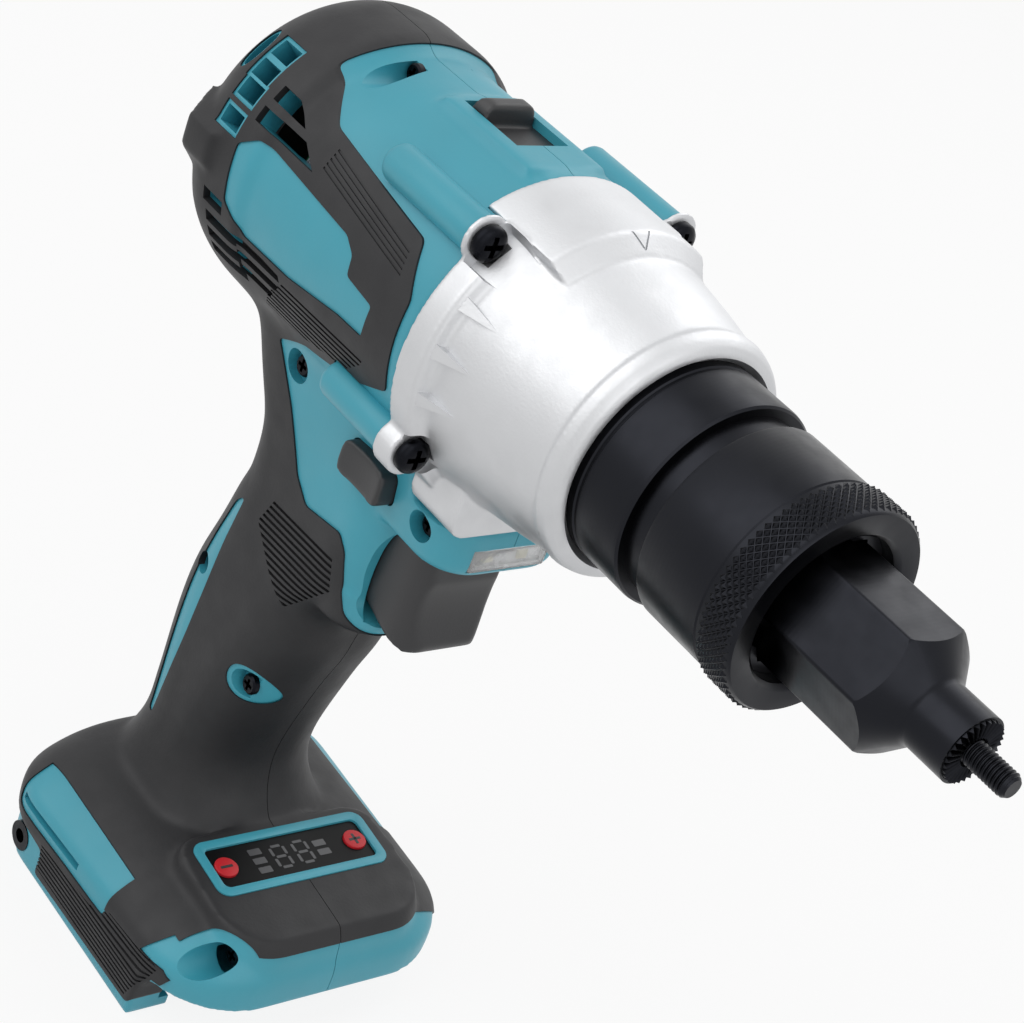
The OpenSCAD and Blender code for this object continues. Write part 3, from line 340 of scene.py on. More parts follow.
def round_rect(length, width, radius, x=0.0, y=0.0, steps=8):
    made = []
    for cx, cy, start in ((1, 1, 0), (-1, 1, 90), (-1, -1, 180), (1, -1, 270)):
        made += arc(radius, start, start + 90, steps,
                    x + cx * (length / 2 - radius), y + cy * (width / 2 - radius))
    return made


def section(s, inset=0.0, steps=10):
    """One rounded section of the moulded body."""
    z, rear, front, width, r = s[:5]
    lip, f = s[5:] if len(s) > 5 else (width, r)
    r, f = r - inset, f - inset
    rear, front, width, lip = rear + inset + r, front - inset - f, width - inset - r, lip - inset - f
    made = []
    for cx, cy, q, start in ((front, lip, f, 0), (rear, width, r, 90), (rear, -width, r, 180),
                             (front, -lip, f, 270)):
        made += [(x, y, z) for x, y in arc(q, start, start + 90, steps, cx, cy)]
    return made


def flowing(stations, steps=6):
    """More sections between the given ones, on a smooth curve through them."""
    rows = np.array(stations, float)
    made = []
    for i in range(len(rows) - 1):
        a, b, c, d = (rows[min(max(i + k, 0), len(rows) - 1)] for k in (-1, 0, 1, 2))
        for k in range(steps):
            t = k / steps
            made.append(0.5 * (2 * b + (c - a) * t + (2 * a - 5 * b + 4 * c - d) * t ** 2
                               + (3 * b - a - 3 * c + d) * t ** 3))
    return [tuple(r) for r in made] + [tuple(rows[-1])]


def loft(stations, inset=0.0):
    return skin([section(s, inset) for s in stations])


def relax(mesh, rounds, share=None):
    """Evens out a dense mesh. share gives how far each point follows, from 0 to 1."""
    count = len(mesh.vertices)
    points = np.empty(count * 3)
    mesh.vertices.foreach_get("co", points)
    points = points.reshape(-1, 3)
    ends = np.empty(len(mesh.edges) * 2, np.int32)
    mesh.edges.foreach_get("vertices", ends)
    a, b = ends.reshape(-1, 2).T
    links = np.bincount(np.r_[a, b], minlength=count)[:, None]
    pull = 0.5 * (np.ones((count, 1)) if share is None else share(points)[:, None])
    for _ in range(rounds):
        near = np.stack([np.bincount(a, points[b, k], count) + np.bincount(b, points[a, k], count)
                         for k in range(3)], 1) / links
        points += pull * (near - points)
    mesh.vertices.foreach_set("co", points.ravel())
    mesh.update()


def soften(obj, grain, rounds):
    """Remakes a solid as an even mesh and rounds its edges, as moulding and casting do."""
    mod = obj.modifiers.new("soften", "REMESH")
    mod.mode = "VOXEL"
    mod.voxel_size = grain
    bake(obj)
    relax(obj.data, rounds)
    return obj


def inset(obj, depth):
    """A copy whose skin lies deeper by the given depth."""
    twin = copy(obj)
    count = len(twin.data.vertices)
    points, normals = np.empty(count * 3, np.float32), np.empty(count * 3, np.float32)
    twin.data.vertices.foreach_get("co", points)
    twin.data.vertices.foreach_get("normal", normals)
    twin.data.vertices.foreach_set("co", points - depth * normals)
    twin.data.update()
    return twin


def bevel(obj, width, steps=2, angle=30):
    mod = obj.modifiers.new("bevel", "BEVEL")
    mod.width = width
    mod.segments = steps
    mod.limit_method = "ANGLE"
    mod.angle_limit = math.radians(angle)
    return bake(obj)


def merge(*objs):
    """Puts separate solids into one object, each with its own material."""
    whole = objs[0]
    bm = bmesh.new()
    materials = []
    for obj in objs:
        first = len(bm.faces)
        bm.from_mesh(obj.data)
        bm.faces.ensure_lookup_table()
        own = list(obj.data.materials) or [None]
        for face in bm.faces[first:]:
            material = own[min(face.material_index, len(own) - 1)]
            if material not in materials:
                materials.append(material)
            face.material_index = materials.index(material)
    whole.data.materials.clear()
    for material in materials:
        whole.data.materials.append(material)
    bm.to_mesh(whole.data)
    bm.free()
    discard(*objs[1:])
    return whole


def dressed(obj, finish):
    obj.data.materials.clear()
    obj.data.materials.append(MATERIALS[finish])
    return obj


def place(obj, name, body, slot, *nodes, dress=True, angle=35):
    """Moves a finished solid into the frame, gives it its finish, name and body, and hides the CAD nodes that
    it stands for.
    """
    if dress:
        dressed(obj, slot)
    obj.name = obj.data.name = name
    moved(obj, TO_FRAME)
    obj.data.shade_smooth()
    obj.data.set_sharp_from_angle(angle=math.radians(angle))
    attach(obj, body)
    if nodes:
        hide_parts(*nodes)


# Node tools

def node(tree, kind, inputs=None, **settings):
    """Adds a node with its settings. An input is a value, or the socket that feeds it."""
    made = tree.nodes.new(kind)
    for key, value in settings.items():
        setattr(made, key, value)
    for key, value in (inputs or {}).items():
        if isinstance(value, bpy.types.NodeSocket):
            tree.links.new(value, made.inputs[key])
        else:
            made.inputs[key].default_value = value
    return made


def repeat_tree(on_points):
    """Repeats a piece: on the points of the input, or in a row that steps and turns about the nose."""
    tree = bpy.data.node_groups.new("On points" if on_points else "In a row", "GeometryNodeTree")
    sockets = [("Geometry", "Geometry"), ("Piece", "Object"), ("Material", "Material")]
    if not on_points:
        sockets += [("Count", "Int"), ("Step", "Vector"), ("Turn", "Float")]
    for title, kind in sockets:
        tree.interface.new_socket(title, in_out="INPUT", socket_type="NodeSocket" + kind)
    tree.interface.new_socket("Geometry", in_out="OUTPUT", socket_type="NodeSocketGeometry")
    given = node(tree, "NodeGroupInput").outputs
    piece = node(tree, "GeometryNodeObjectInfo", {"Object": given["Piece"]})
    links = {"Points": given["Geometry"], "Instance": piece.outputs["Geometry"]}
    if not on_points:
        index = node(tree, "GeometryNodeInputIndex").outputs[0]
        step = node(tree, "ShaderNodeVectorMath", {0: given["Step"], "Scale": index}, operation="SCALE")
        turn = node(tree, "ShaderNodeMath", {0: given["Turn"], 1: index}, operation="MULTIPLY")
        spots = node(tree, "GeometryNodePoints", {"Count": given["Count"], "Position": step.outputs[0]})
        links["Points"] = spots.outputs[0]
        links["Rotation"] = node(tree, "ShaderNodeCombineXYZ", {"X": turn.outputs[0]}).outputs[0]
    each = node(tree, "GeometryNodeInstanceOnPoints", links)
    whole = node(tree, "GeometryNodeRealizeInstances", {"Geometry": each.outputs[0]})
    finish = node(tree, "GeometryNodeSetMaterial",
                  {"Geometry": whole.outputs[0], "Material": given["Material"]})
    node(tree, "NodeGroupOutput", {"Geometry": finish.outputs[0]})
    return tree


def repeated(piece, finish, points=None, **values):
    """Runs a repeat tree and returns its plain mesh. The piece itself is used up."""
    title = "In a row" if points is None else "On points"
    tree = bpy.data.node_groups.get(title) or repeat_tree(points is not None)
    holder = blank(points or [(0, 0, 0)], [])
    mod = holder.modifiers.new("repeat", "NODES")
    mod.node_group = tree
    values.update(Piece=piece, Material=MATERIALS[finish])
    for item in tree.interface.items_tree:
        if item.in_out == "INPUT" and item.name in values:
            mod[item.identifier] = values[item.name]
    bake(holder)
    discard(piece)
    return holder


def round_row(piece, finish, count):
    """A piece repeated all round the nose."""
    return repeated(piece, finish, Count=count, Step=(0, 0, 0), Turn=2 * math.pi / count)


# Materials

def shader(title, base, **sockets):
    """A material with constants on its shader."""
    material = bpy.data.materials.new(title)
    material.use_nodes = True
    surface = material.node_tree.nodes["Principled BSDF"]
    surface.inputs["Base Color"].default_value = (*base, 1)
    for key, value in sockets.items():
        surface.inputs[key.replace("_", " ")].default_value = value
    return material, material.node_tree, surface


def per_metre(size_mm):
    """Scale of a texture whose features measure the given millimetres."""
    return 1000 / size_mm


def mottled(tree, surface, where, size_mm, shift):
    """Lets the colour wander a little around its base."""
    base = surface.inputs["Base Color"].default_value[:3]
    noise = node(tree, "ShaderNodeTexNoise", {"Vector": where, "Scale": per_metre(size_mm), "Detail": 3.0})
    ramp = node(tree, "ShaderNodeValToRGB", {"Fac": noise.outputs["Fac"]})
    for stop, position, k in zip(ramp.color_ramp.elements, (0.3, 0.7), (1 - shift, 1 + shift)):
        stop.position = position
        stop.color = (*(min(c * k, 1) for c in base), 1)
    tree.links.new(ramp.outputs["Color"], surface.inputs["Base Color"])


def uneven_gloss(tree, surface, where, size_mm, low, high):
    """Lets the roughness wander between two values."""
    noise = node(tree, "ShaderNodeTexNoise", {"Vector": where, "Scale": per_metre(size_mm), "Detail": 4.0})
    reach = node(tree, "ShaderNodeMapRange", {"Value": noise.outputs["Fac"], "From Min": 0.3, "From Max": 0.7,
                                              "To Min": low, "To Max": high})
    tree.links.new(reach.outputs[0], surface.inputs["Roughness"])


def relief(tree, surface, where, size_mm, depth_mm, axis=None, wander=0.0):
    """Raises the surface in grains, or in lines that follow each other along an axis."""
    given = {"Vector": where, "Scale": per_metre(size_mm)}
    if axis:
        height = node(tree, "ShaderNodeTexWave", {**given, "Distortion": wander}, wave_type="BANDS",
                      bands_direction=axis)
    else:
        height = node(tree, "ShaderNodeTexNoise", {**given, "Detail": 2.0})
    bump = node(tree, "ShaderNodeBump", {"Height": height.outputs["Fac"], "Distance": depth_mm * MM})
    tree.links.new(bump.outputs[0], surface.inputs["Normal"])


# Finishes: title, colour or its property, shader constants, and what varies over the surface.
# Grains are drawn coarser than the real ones, which measure 0.1 to 0.15 mm, so that they show.
FINISHES = {
    # Moulded ABS, dyed through: satin, with the fine etched grain of its mould
    "teal_plastic": ("moulded ABS", "shell", {"IOR": 1.53},
                     {mottled: (22, 0.04), uneven_gloss: (9, 0.38, 0.48), relief: (0.7, 0.02)}),
    # Soft rubber over the shell: dull and dark, with little gloss even at grazing angles
    "dark_rubber": ("overmoulded rubber", "rubber", {"IOR": 1.5, "Specular_IOR_Level": 0.4},
                    {mottled: (30, 0.06), uneven_gloss: (6, 0.5, 0.6), relief: (0.8, 0.03)}),
    # Die-cast aluminium, bead blasted under clear lacquer: pale, soft and faintly sandy
    "cast_aluminium": ("blasted die-cast aluminium", "casting", {"Metallic": 1.0},
                       {mottled: (14, 0.03), uneven_gloss: (5, 0.44, 0.56), relief: (0.6, 0.035)}),
    # Turned steel, blackened: deep black with a waxy gloss and fine turning marks round the axis
    "black_steel": ("blackened turned steel", "black", {"Metallic": 1.0},
                    {uneven_gloss: (4, 0.28, 0.4), relief: (3.0, 0.002, "X", 0.4)}),
    # Zinc-plated screws, blackened: black with a slight blue sheen, scuffed on the drive
    "screw_steel": ("black zinc plate", "#1B1C20", {"Metallic": 1.0}, {uneven_gloss: (1.2, 0.25, 0.45)}),
    # Ground steel: bright, with a soft uneven polish
    "bright_steel": ("ground steel", "#B9BBBF", {"Metallic": 1.0}, {uneven_gloss: (2, 0.2, 0.36)}),
    # Drawn spring wire: greyer, with an oil film
    "spring_steel": ("drawn spring wire", "#8E9095", {"Metallic": 1.0}, {uneven_gloss: (1.5, 0.26, 0.4)}),
    # Nylon of trigger, lever and slider: near black, satin, faintly grained
    "dark_plastic": ("moulded nylon", "#28282A", {"Roughness": 0.45, "IOR": 1.53},
                     {mottled: (12, 0.05), relief: (0.6, 0.02)}),
    # Glass-filled nylon of the inner blocks: black and drier
    "black_plastic": ("glass-filled nylon", "#1E1E20", {"Roughness": 0.55, "IOR": 1.53},
                      {mottled: (4, 0.1), relief: (0.4, 0.02)}),
    # Smoked acrylic of the display: black, with a matt film that keeps reflections off
    "gloss_black": ("smoked acrylic", "#0C0D0E", {"IOR": 1.49, "Specular_IOR_Level": 0.12},
                    {uneven_gloss: (8, 0.35, 0.45)}),
    # Unlit segments printed behind the acrylic: a faint dark grey
    "segments": ("unlit segments", "#3E3F42", {"Roughness": 0.35}, {mottled: (1.5, 0.05)}),
    # Silicone buttons: warm red, satin
    "red_plastic": ("red silicone", "button", {"Roughness": 0.45, "IOR": 1.43, "Subsurface_Weight": 0.05},
                    {mottled: (3, 0.05)}),
    # Clear polycarbonate of the lamp: colourless, a little milky
    "clear_plastic": ("clear polycarbonate", "#FFFFFF",
                      {"Roughness": 0.14, "IOR": 1.585, "Transmission_Weight": 0.85}, {relief: (1.6, 0.05)}),
    # Vapour-coated reflector behind the lens: pale and soft
    "reflector": ("lamp reflector", "#D9DBDD", {"Metallic": 0.6}, {uneven_gloss: (2, 0.18, 0.32)}),
    # Phosphor on the light diodes: a pale cream
    "phosphor": ("diode phosphor", "#EDE9D0", {"Roughness": 0.5}, {mottled: (0.6, 0.05)}),
    # Epoxy board with green mask: glossy, with darker and lighter patches
    "circuit_board": ("masked circuit board", "#1F5B3A", {"Roughness": 0.35, "IOR": 1.55},
                      {mottled: (2.5, 0.2)}),
    # Enamelled copper, with the wound wires side by side
    "copper": ("enamelled copper wire", "#A5532B", {"Metallic": 1.0, "Roughness": 0.3},
               {relief: (2.2, 0.2, "Y")}),
    # Stacked steel sheets of the stator, edge on
    "lamination": ("stacked lamination steel", "#70747A", {"Metallic": 1.0, "Roughness": 0.4},
                   {relief: (2.0, 0.05, "X")}),
    # Brass of the contacts: yellow, with a rubbed polish
    "contact_brass": ("contact brass", "#C2A25A", {"Metallic": 1.0}, {uneven_gloss: (1.5, 0.22, 0.4)}),
}
MATERIALS = {}


def make_materials(tint):
    for key, (title, base, sockets, effects) in FINISHES.items():
        base = linear(base) if base.startswith("#") else getattr(tint, base)
        MATERIALS[key], tree, surface = shader(title, base, **sockets)
        where = node(tree, "ShaderNodeTexCoord").outputs["Object"]
        for effect, values in effects.items():
            effect(tree, surface, where, *values)


# Moulded body

def hump(values, low, high, fade):
    """1 between low and high, fading to 0 over the given distance."""
    return np.clip((values - low) / fade + 1, 0, 1) * np.clip((high - values) / fade + 1, 0, 1)


def soft_creases(points):
    """Where the grip flows into the barrel."""
    x, _, z = points.T
    return hump(z, -33, -20, 9) * hump(x, -70, -8, 8)


def bumper(side):
    """One of the bumpers on the tail's sides, narrower outwards."""
    corners = [(-74, -6.5, 28), (-57, -6.5, 28), (-57, 10.5, 28), (-74, 10.5, 28),
               (-69.6, -0.4, 34.7), (-60.8, -0.4, 34.7), (-60.8, 6.3, 34.7), (-69.6, 6.3, 34.7)]
    return skin([[(x, side * y, z) for x, z, y in corners[k:k + 4]] for k in (0, 4)])


def moulded_form(sizes):
    tail = [(0, -44), (30, -44), (33.25, -50), (33.25, -61.5)]
    tail += [(18.25 + 15 * math.cos(t), -61.5 - 15 * math.sin(t)) for t in np.linspace(0.1, math.pi / 2, 14)]
    chin = cut(loft(flowing(CHIN)), block(7, 23, -35, 35, -33, 0))
    mound = cut(loft(flowing(MOUND)), moved(block(-41, 41, -40, 40, 0, 30), DISPLAY))
    saddle = combine(block(-30, -2, -10, 10, 28.8, 32.6), rod(-31, -1, 33.6), "INTERSECT")
    rear_round = [(x, y) for x, y, _ in section((0, -63.4, 2, 38.9, 16))[11:33]]
    rails = prism([(2, -38.9), (2, 38.9)] + rear_round, -169.4, -157, "z")
    form = union(rod(-50, 7, 32, steps=160), turned(tail + [(0, -76.5)], 160, up=1),
                 *[bumper(side) for side in SIDES], chin, loft(flowing(GRIP)), loft(flowing(LIP)),
                 loft(flowing(FOOT, 3)), mound, saddle, rails)
    soften(form, sizes.grain, 4)
    relax(form.data, 60, soft_creases)
    return combine(form, block(-76.5, 21, -39.5, 39.5, -169.4, 36), "INTERSECT")


def air_cutters(vent, grow):
    """An air opening's cutters for both sides, grown all round. One that is taller than long is an oval."""
    angle, rear, front, half, _, slant = vent
    x0, x1, h = rear - grow, front + grow, half + grow
    outline = [(x0, -h), (x1, -h), (x1 - slant, h), (x0, h)]
    if 2 * half > front - rear:
        outline = [((x0 + x1) / 2 + (x1 - x0) / 2 * x, h * y) for x, y in arc(1, 0, 360, 23)[:-1]]
    return [moved(prism([(x, side * y) for x, y in outline], 22, 64, "z"),
                  Matrix.Rotation(math.radians(side * angle), 4, "X")) for side in SIDES]


def ridges(grow):
    """The round ridges behind the gear case's bosses, with blunt noses."""
    made = []
    for across, up, _, rear in BOSSES:
        nose = [(r + grow, rear + x - grow) for r, x in ((2.5, -4), (3.3, -3.7), (3.8, -3.1), (4, -2.3))]
        made.append(turned([(0, rear - 4 - grow)] + nose + [(4 + grow, 7), (0, 7)], 48, across, up))
    return made


def rubber_zone():
    """The space in which the body is rubber."""
    zone = cut(prism(rounded(RUBBER, 1.2), -OUT, OUT, "y"), prism(rounded(SIDE_PANEL, 0.8), -OUT, OUT, "y"),
               prism(rounded(GRIP_STRIPE, 3), -OUT, -10, "y"), prism(rounded(GRIP_STRIPE, 3), 10, OUT, "y"),
               *ridges(0.35))
    cut(zone, *[prism(rounded(FOOT_PANEL, 1.5), side * 32.6, side * 46, "y") for side in SIDES])
    cut(zone, prism(BASE_PATCH, -46, -25, "y"), block(2.2, 20, -36.5, 36.5, -162, -157.2),
        peg(9.5, -148.5, -OUT, 0, 6.4), peg(-23, -103, -OUT, -5, 4.7),
        moved(prism(round_rect(*DISPLAY_SIZE), -6, 8, "z"), DISPLAY))
    for vent in VENTS:
        border = vent[4]
        if border:
            cut(zone, *air_cutters(vent, border))
    return zone


def hollow():
    """The space inside the shell, for motor, switch and boards."""
    room = union(rod(-68.5, -3, 27.3), rod(-3, 21.4, 26.95), rod(-73.5, 0, 8.05))
    grip = cut(loft(flowing(GRIP), GRIP_WALL), block(-70, 20, -45, 45, -170, -157.1))
    union(room, grip, prism(round_rect(66, 62, 10, -22), -157.1, -148.6, "z"),
          block(-8.4, 15, -12, 12, -42.5, -36))
    stator_ribs = [cut(rod(x, x + 4, 28.3), rod(x - 1, x + 5, 26.05)) for x in (-45, -21)]
    switch_ribs = [block(x, x + 2, side * 9, side * 16.5, -66, -44) for side in SIDES for x in (-28.4, -14.4)]
    base_boss = peg(9.5, -148.5, -40, -24, 5.2)
    return cut(room, *stator_ribs, *switch_ribs, base_boss)


def land_sector(start, end, half=46.0):
    """The sector over the tool's axis that the gear case's land fills."""
    return prism([(0, 0), (half, 64), (-half, 64)], start, end, "x")


def openings():
    """Everything that is cut through shell and rubber."""
    trigger = [prism(rounded(TRIGGER_MOUTH, 2), -11.05, 11.05, "y"),
               prism(rounded(TRIGGER_RIM, 3), -16.5, 16.5, "y")]
    lever = prism(round_rect(14.6, 8.1, 2.1, -5, -35.5), -OUT, OUT, "y")
    slider = [block(-27.3, -10.2, -6.3, 6.3, 28.8, 64), block(-27.3, -0.7, -7.35, 7.35, 28.75, 30.35)]
    lamp = block(15.6, 82, -9.55, 9.55, -42.65, -37.35)
    pocket = moved(prism(round_rect(15.5, 44.7, 3), -4.6, 8, "z"), DISPLAY)
    battery = [block(-59, 3, -31, 31, -166, -158.7), block(-59, 3, -28.5, 28.5, -171, -158.7)]
    cuts = [*trigger, lever, *slider, lamp, pocket, land_sector(0.6, 24, 46.3), *battery]
    cuts += [block(-52.5, -28, side * 36.9, side * OUT, -154.4, -152.6) for side in SIDES]
    cuts += [rod(-14, 20, BOSS_BORE, across, up, 32) for across, up, _, _ in BOSSES]
    cuts += [peg(-50, -163.5, side * OUT, side * 31.9, 3.5) for side in SIDES]
    for x, z, seat, radius in SHELL_SCREWS:
        cuts += [peg(x, z, -OUT, 7.5, 1.55), peg(x, z, -OUT, -seat, radius)]
    for vent in VENTS:
        cuts += air_cutters(vent, 0)
    return union(*cuts)


def groove_row(outline, first, step, count, width):
    """Straight grooves in a row, kept inside an outline, for both sides of the tool."""
    along = Vector(step).orthogonal().normalized() * GROOVE_REACH
    across = Vector(step).normalized() * width / 2
    corners = [Vector(first) + along * t + across * w for t, w in ((-1, -1), (1, -1), (1, 1), (-1, 1))]
    rows = repeated(prism([tuple(c) for c in corners], -OUT, OUT, "y"), "dark_rubber", Count=count,
                    Step=(step[0], 0, step[1]))
    return combine(rows, prism(outline, -OUT - 1, OUT + 1, "y"), "INTERSECT")


class NUTSETTER_OT_body(bpy.types.Operator):
    """Moulded shell in two halves, with the soft rubber on it"""
    bl_idname = "nutsetter.body"
    bl_label = "Moulded body"

    def execute(self, context):
        sizes = context.scene.nutsetter_sizes
        form = moulded_form(sizes)
        zone = rubber_zone()
        deep = inset(form, RUBBER_DEPTH)
        shell = inset(form, sizes.proud)
        combine(shell, zone, keep=True)
        combine(shell, deep, "UNION", keep=True)
        union(shell, *ridges(0))
        rubber = combine(copy(form), zone, "INTERSECT")
        combine(rubber, deep)
        for share, outline, first, step, count, width in PADS:
            floor = inset(form, share * sizes.groove)
            cut(rubber, cut(groove_row(outline, first, step, count, width), floor))
        cuts = openings()
        combine(shell, hollow())
        combine(shell, cuts, keep=True)
        combine(rubber, cuts)
        for side, word in zip(SIDES, ("right", "left")):
            half = block(-120, 80, side * SEAM, side * 80, -200, 80)
            hard = combine(copy(shell), half, "INTERSECT", keep=True)
            place(hard, f"shell_{word}", "tool", "teal_plastic", f"housing_{word}")
            soft = combine(copy(rubber), half, "INTERSECT")
            place(soft, f"rubber_{word}", "tool", "dark_rubber", f"overmould_{word}")
        discard(form, shell, rubber)
        return {"FINISHED"}


class NUTSETTER_OT_gear_case(bpy.types.Operator):
    """Die-cast gear case with its bosses, land, skirt and ribs"""
    bl_idname = "nutsetter.gear_case"
    bl_label = "Gear case"

    def execute(self, context):
        profile = [(0, 0.6), (26.9, 0.6), (26.9, 7), (33, 7), (33, 12.6), (32.5, 13.3), (30.3, 14.2),
                   (29.8, 15), (28.2, 26), (27.2, 33), (25.7, 41.2), (25.6, 41.9), (26.1, 43.2), (25.6, 45),
                   (24.6, 46.3), (23.2, 47), (0, 47)]
        land = combine(turned([(22, 0.6), (32.3, 0.6), (32, 20), (29, 23.5), (22, 23.5)], 160),
                       land_sector(0.6, 24), "INTERSECT")
        skirt = cut(prism(round_rect(38, 33, 4, 0, -16.5), 7, 21, "x"), rod(6, 22, 22))
        notch = combine(turned([(31, 5), (36, 5), (36, 16), (31, 16)], 160), land_sector(4, 17), "INTERSECT")
        case = union(cut(turned(profile, 160), notch), land, skirt,
                     *[rod(7, head, 5, across, up, 64) for across, up, head, _ in BOSSES])
        soften(case, 0.45, 2)
        for angle in (64, 82, 100, -64, -82, -100):
            rib = blank([(13.5, -1.4, 27), (13.5, 1.4, 27), (13.5, 1.4, 32), (13.5, -1.4, 32), (22, 0, 28.5),
                         (22, 0, 27)], [(0, 1, 2, 3), (3, 2, 4), (0, 3, 4, 5), (1, 5, 4, 2), (0, 5, 1)])
            union(case, moved(rib, Matrix.Rotation(math.radians(angle), 4, "X")))
        on_slope = Matrix.Translation((20, 0, 32)) @ Matrix.Rotation(math.atan2(3, 3.5), 4, "Y")
        for side in SIDES:
            arm = [(0, side * 1.8), (0, side * 2.3), (3.6, side * 0.25), (3.6, -side * 0.25)]
            cut(case, moved(prism(arm, -0.4, 0.8, "z"), on_slope))
        cut(case, rod(0, 22, 22.05), rod(0, 35, 17), rod(35, 48, 21.55, steps=128),
            turned([(0, 45.8), (21.5, 45.8), (22.8, 47.1), (0, 47.1)]))
        for across, up, head, _ in BOSSES:
            front = cut(rod(head, 18, 5.4, across, up, 64),
                        turned([(0, 0), (31, 0), (30.2, 12), (29.8, 15), (29.2, 20), (0, 20)], 160))
            cut(case, rod(0, head + 1, BOSS_BORE, across, up, 32), front,
                rod(head, head + 2.8, 3.8, across, up, 64))
        place(case, "cast_case", "tool", "cast_aluminium", "gear_case")
        return {"FINISHED"}


def cross_screw(profile, steps, floor, arm, half):
    """A turned screw with a crossed drive: the drive's floor, and the reach and half width of its arms."""
    made = turned(profile, steps)
    return cut(made, *[block(floor, 4, -y, y, -z, z) for y, z in ((half, arm), (arm, half))])


class NUTSETTER_OT_case_screws(bpy.types.Operator):
    """Four screws with crossed drives in the gear case's bosses"""
    bl_idname = "nutsetter.case_screws"
    bl_label = "Gear case screws"

    def execute(self, context):
        screw = cross_screw([(0, -20), (1.6, -20), (2, -19.4), (2, 0), (3.5, 0), (3.6, 0.2), (3.6, 1.3),
                             (3.3, 1.8), (2.6, 2.2), (1.6, 2.4), (0, 2.4)], 48, 0.7, 2.1, 0.55)
        spots = [(head, across, up) for across, up, head, _ in BOSSES]
        place(repeated(screw, "screw_steel", spots), "case_screws", "tool", "black_steel", "gear_case_screws",
              dress=False)
        return {"FINISHED"}


class NUTSETTER_OT_shell_screws(bpy.types.Operator):
    """Six screws with crossed drives that close the shell from the right"""
    bl_idname = "nutsetter.shell_screws"
    bl_label = "Shell screws"

    def execute(self, context):
        screw = cross_screw([(0, -12), (1.3, -12), (1.5, -11.6), (1.5, 0), (2.2, 0), (2.3, 0.1), (2.3, 1.2),
                             (1.9, 1.6), (0, 1.6)], 32, 0.5, 1.4, 0.4)
        moved(screw, Matrix.Rotation(-math.pi / 2, 4, "Z"))
        spots = [(x, -seat, z) for x, z, seat, _ in SHELL_SCREWS]
        place(repeated(screw, "screw_steel", spots), "shell_screws", "tool", "black_steel", "housing_screws",
              dress=False)
        return {"FINISHED"}


class NUTSETTER_OT_collar(bpy.types.Operator):
    """Fixed black collar behind the release sleeve"""
    bl_idname = "nutsetter.collar"
    bl_label = "Nose collar"

    def execute(self, context):
        made = turned([(14.55, 39), (21.5, 39), (21.5, 47.5), (21.2, 47.8), (21.2, 48.4), (21.5, 48.7),
                       (21.5, 58.9), (21.35, 59.6), (20.9, 60), (19.2, 60), (19.2, 71.8), (18, 71.8),
                       (18, 60), (14.55, 60)], 160)
        place(made, "black_collar", "tool", "black_steel", "nose_collar")
        return {"FINISHED"}


class NUTSETTER_OT_sleeve(bpy.types.Operator):
    """Release sleeve with its diamond knurl"""
    bl_idname = "nutsetter.sleeve"
    bl_label = "Release sleeve"

    def execute(self, context):
        sizes = context.scene.nutsetter_sizes
        top, rear, front = 21.4, 82, 89  # the knurl's outer radius and ends
        base = top - sizes.knurl_depth
        made = turned([(19.25, 64.5), (20.0, 64.5), (20.45, 64.7), (20.65, 65.2), (20.65, 80.6), (20.4, 80.9),
                       (20.4, 81.5), (20.8, 81.6), (base, rear), (base, front), (20.5, 89.7), (20.2, 90),
                       (16.4, 90), (16, 89.8), (15.3, 89), (15.3, 83.7), (11.85, 83.7), (11.85, 79.5),
                       (19.25, 79.5)], 160)
        count, rows = sizes.knurl_count, 8
        step = (front - rear) / rows
        width = math.tan(math.pi / count) * base
        foot = base - 0.1
        point = blank([(-step, 0, foot), (0, -width, foot), (step, 0, foot), (0, width, foot), (0, 0, top)],
                      [(0, 3, 2, 1), (0, 1, 4), (1, 2, 4), (2, 3, 4), (3, 0, 4)])
        ring = round_row(moved(point, Matrix.Translation((rear + step / 2, 0, 0))), "black_steel", count)
        knurl = repeated(ring, "black_steel", Count=rows, Step=(step, 0, 0), Turn=math.pi / count)
        place(merge(made, knurl), "knurled_sleeve", "sleeve", "black_steel", "release_sleeve", angle=28)
        return {"FINISHED"}


class NUTSETTER_OT_spring(bpy.types.Operator):
    """Return spring, copied from the CAD spring; the real one shortens as the sleeve is drawn back"""
    bl_idname = "nutsetter.spring"
    bl_label = "Return spring"

    def execute(self, context):
        spring = copy(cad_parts["sleeve_spring"])
        spring.name = "return_spring"
        dressed(spring, "spring_steel")
        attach(spring, "tool")
        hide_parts("sleeve_spring")
        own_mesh(spring)
        return {"FINISHED"}


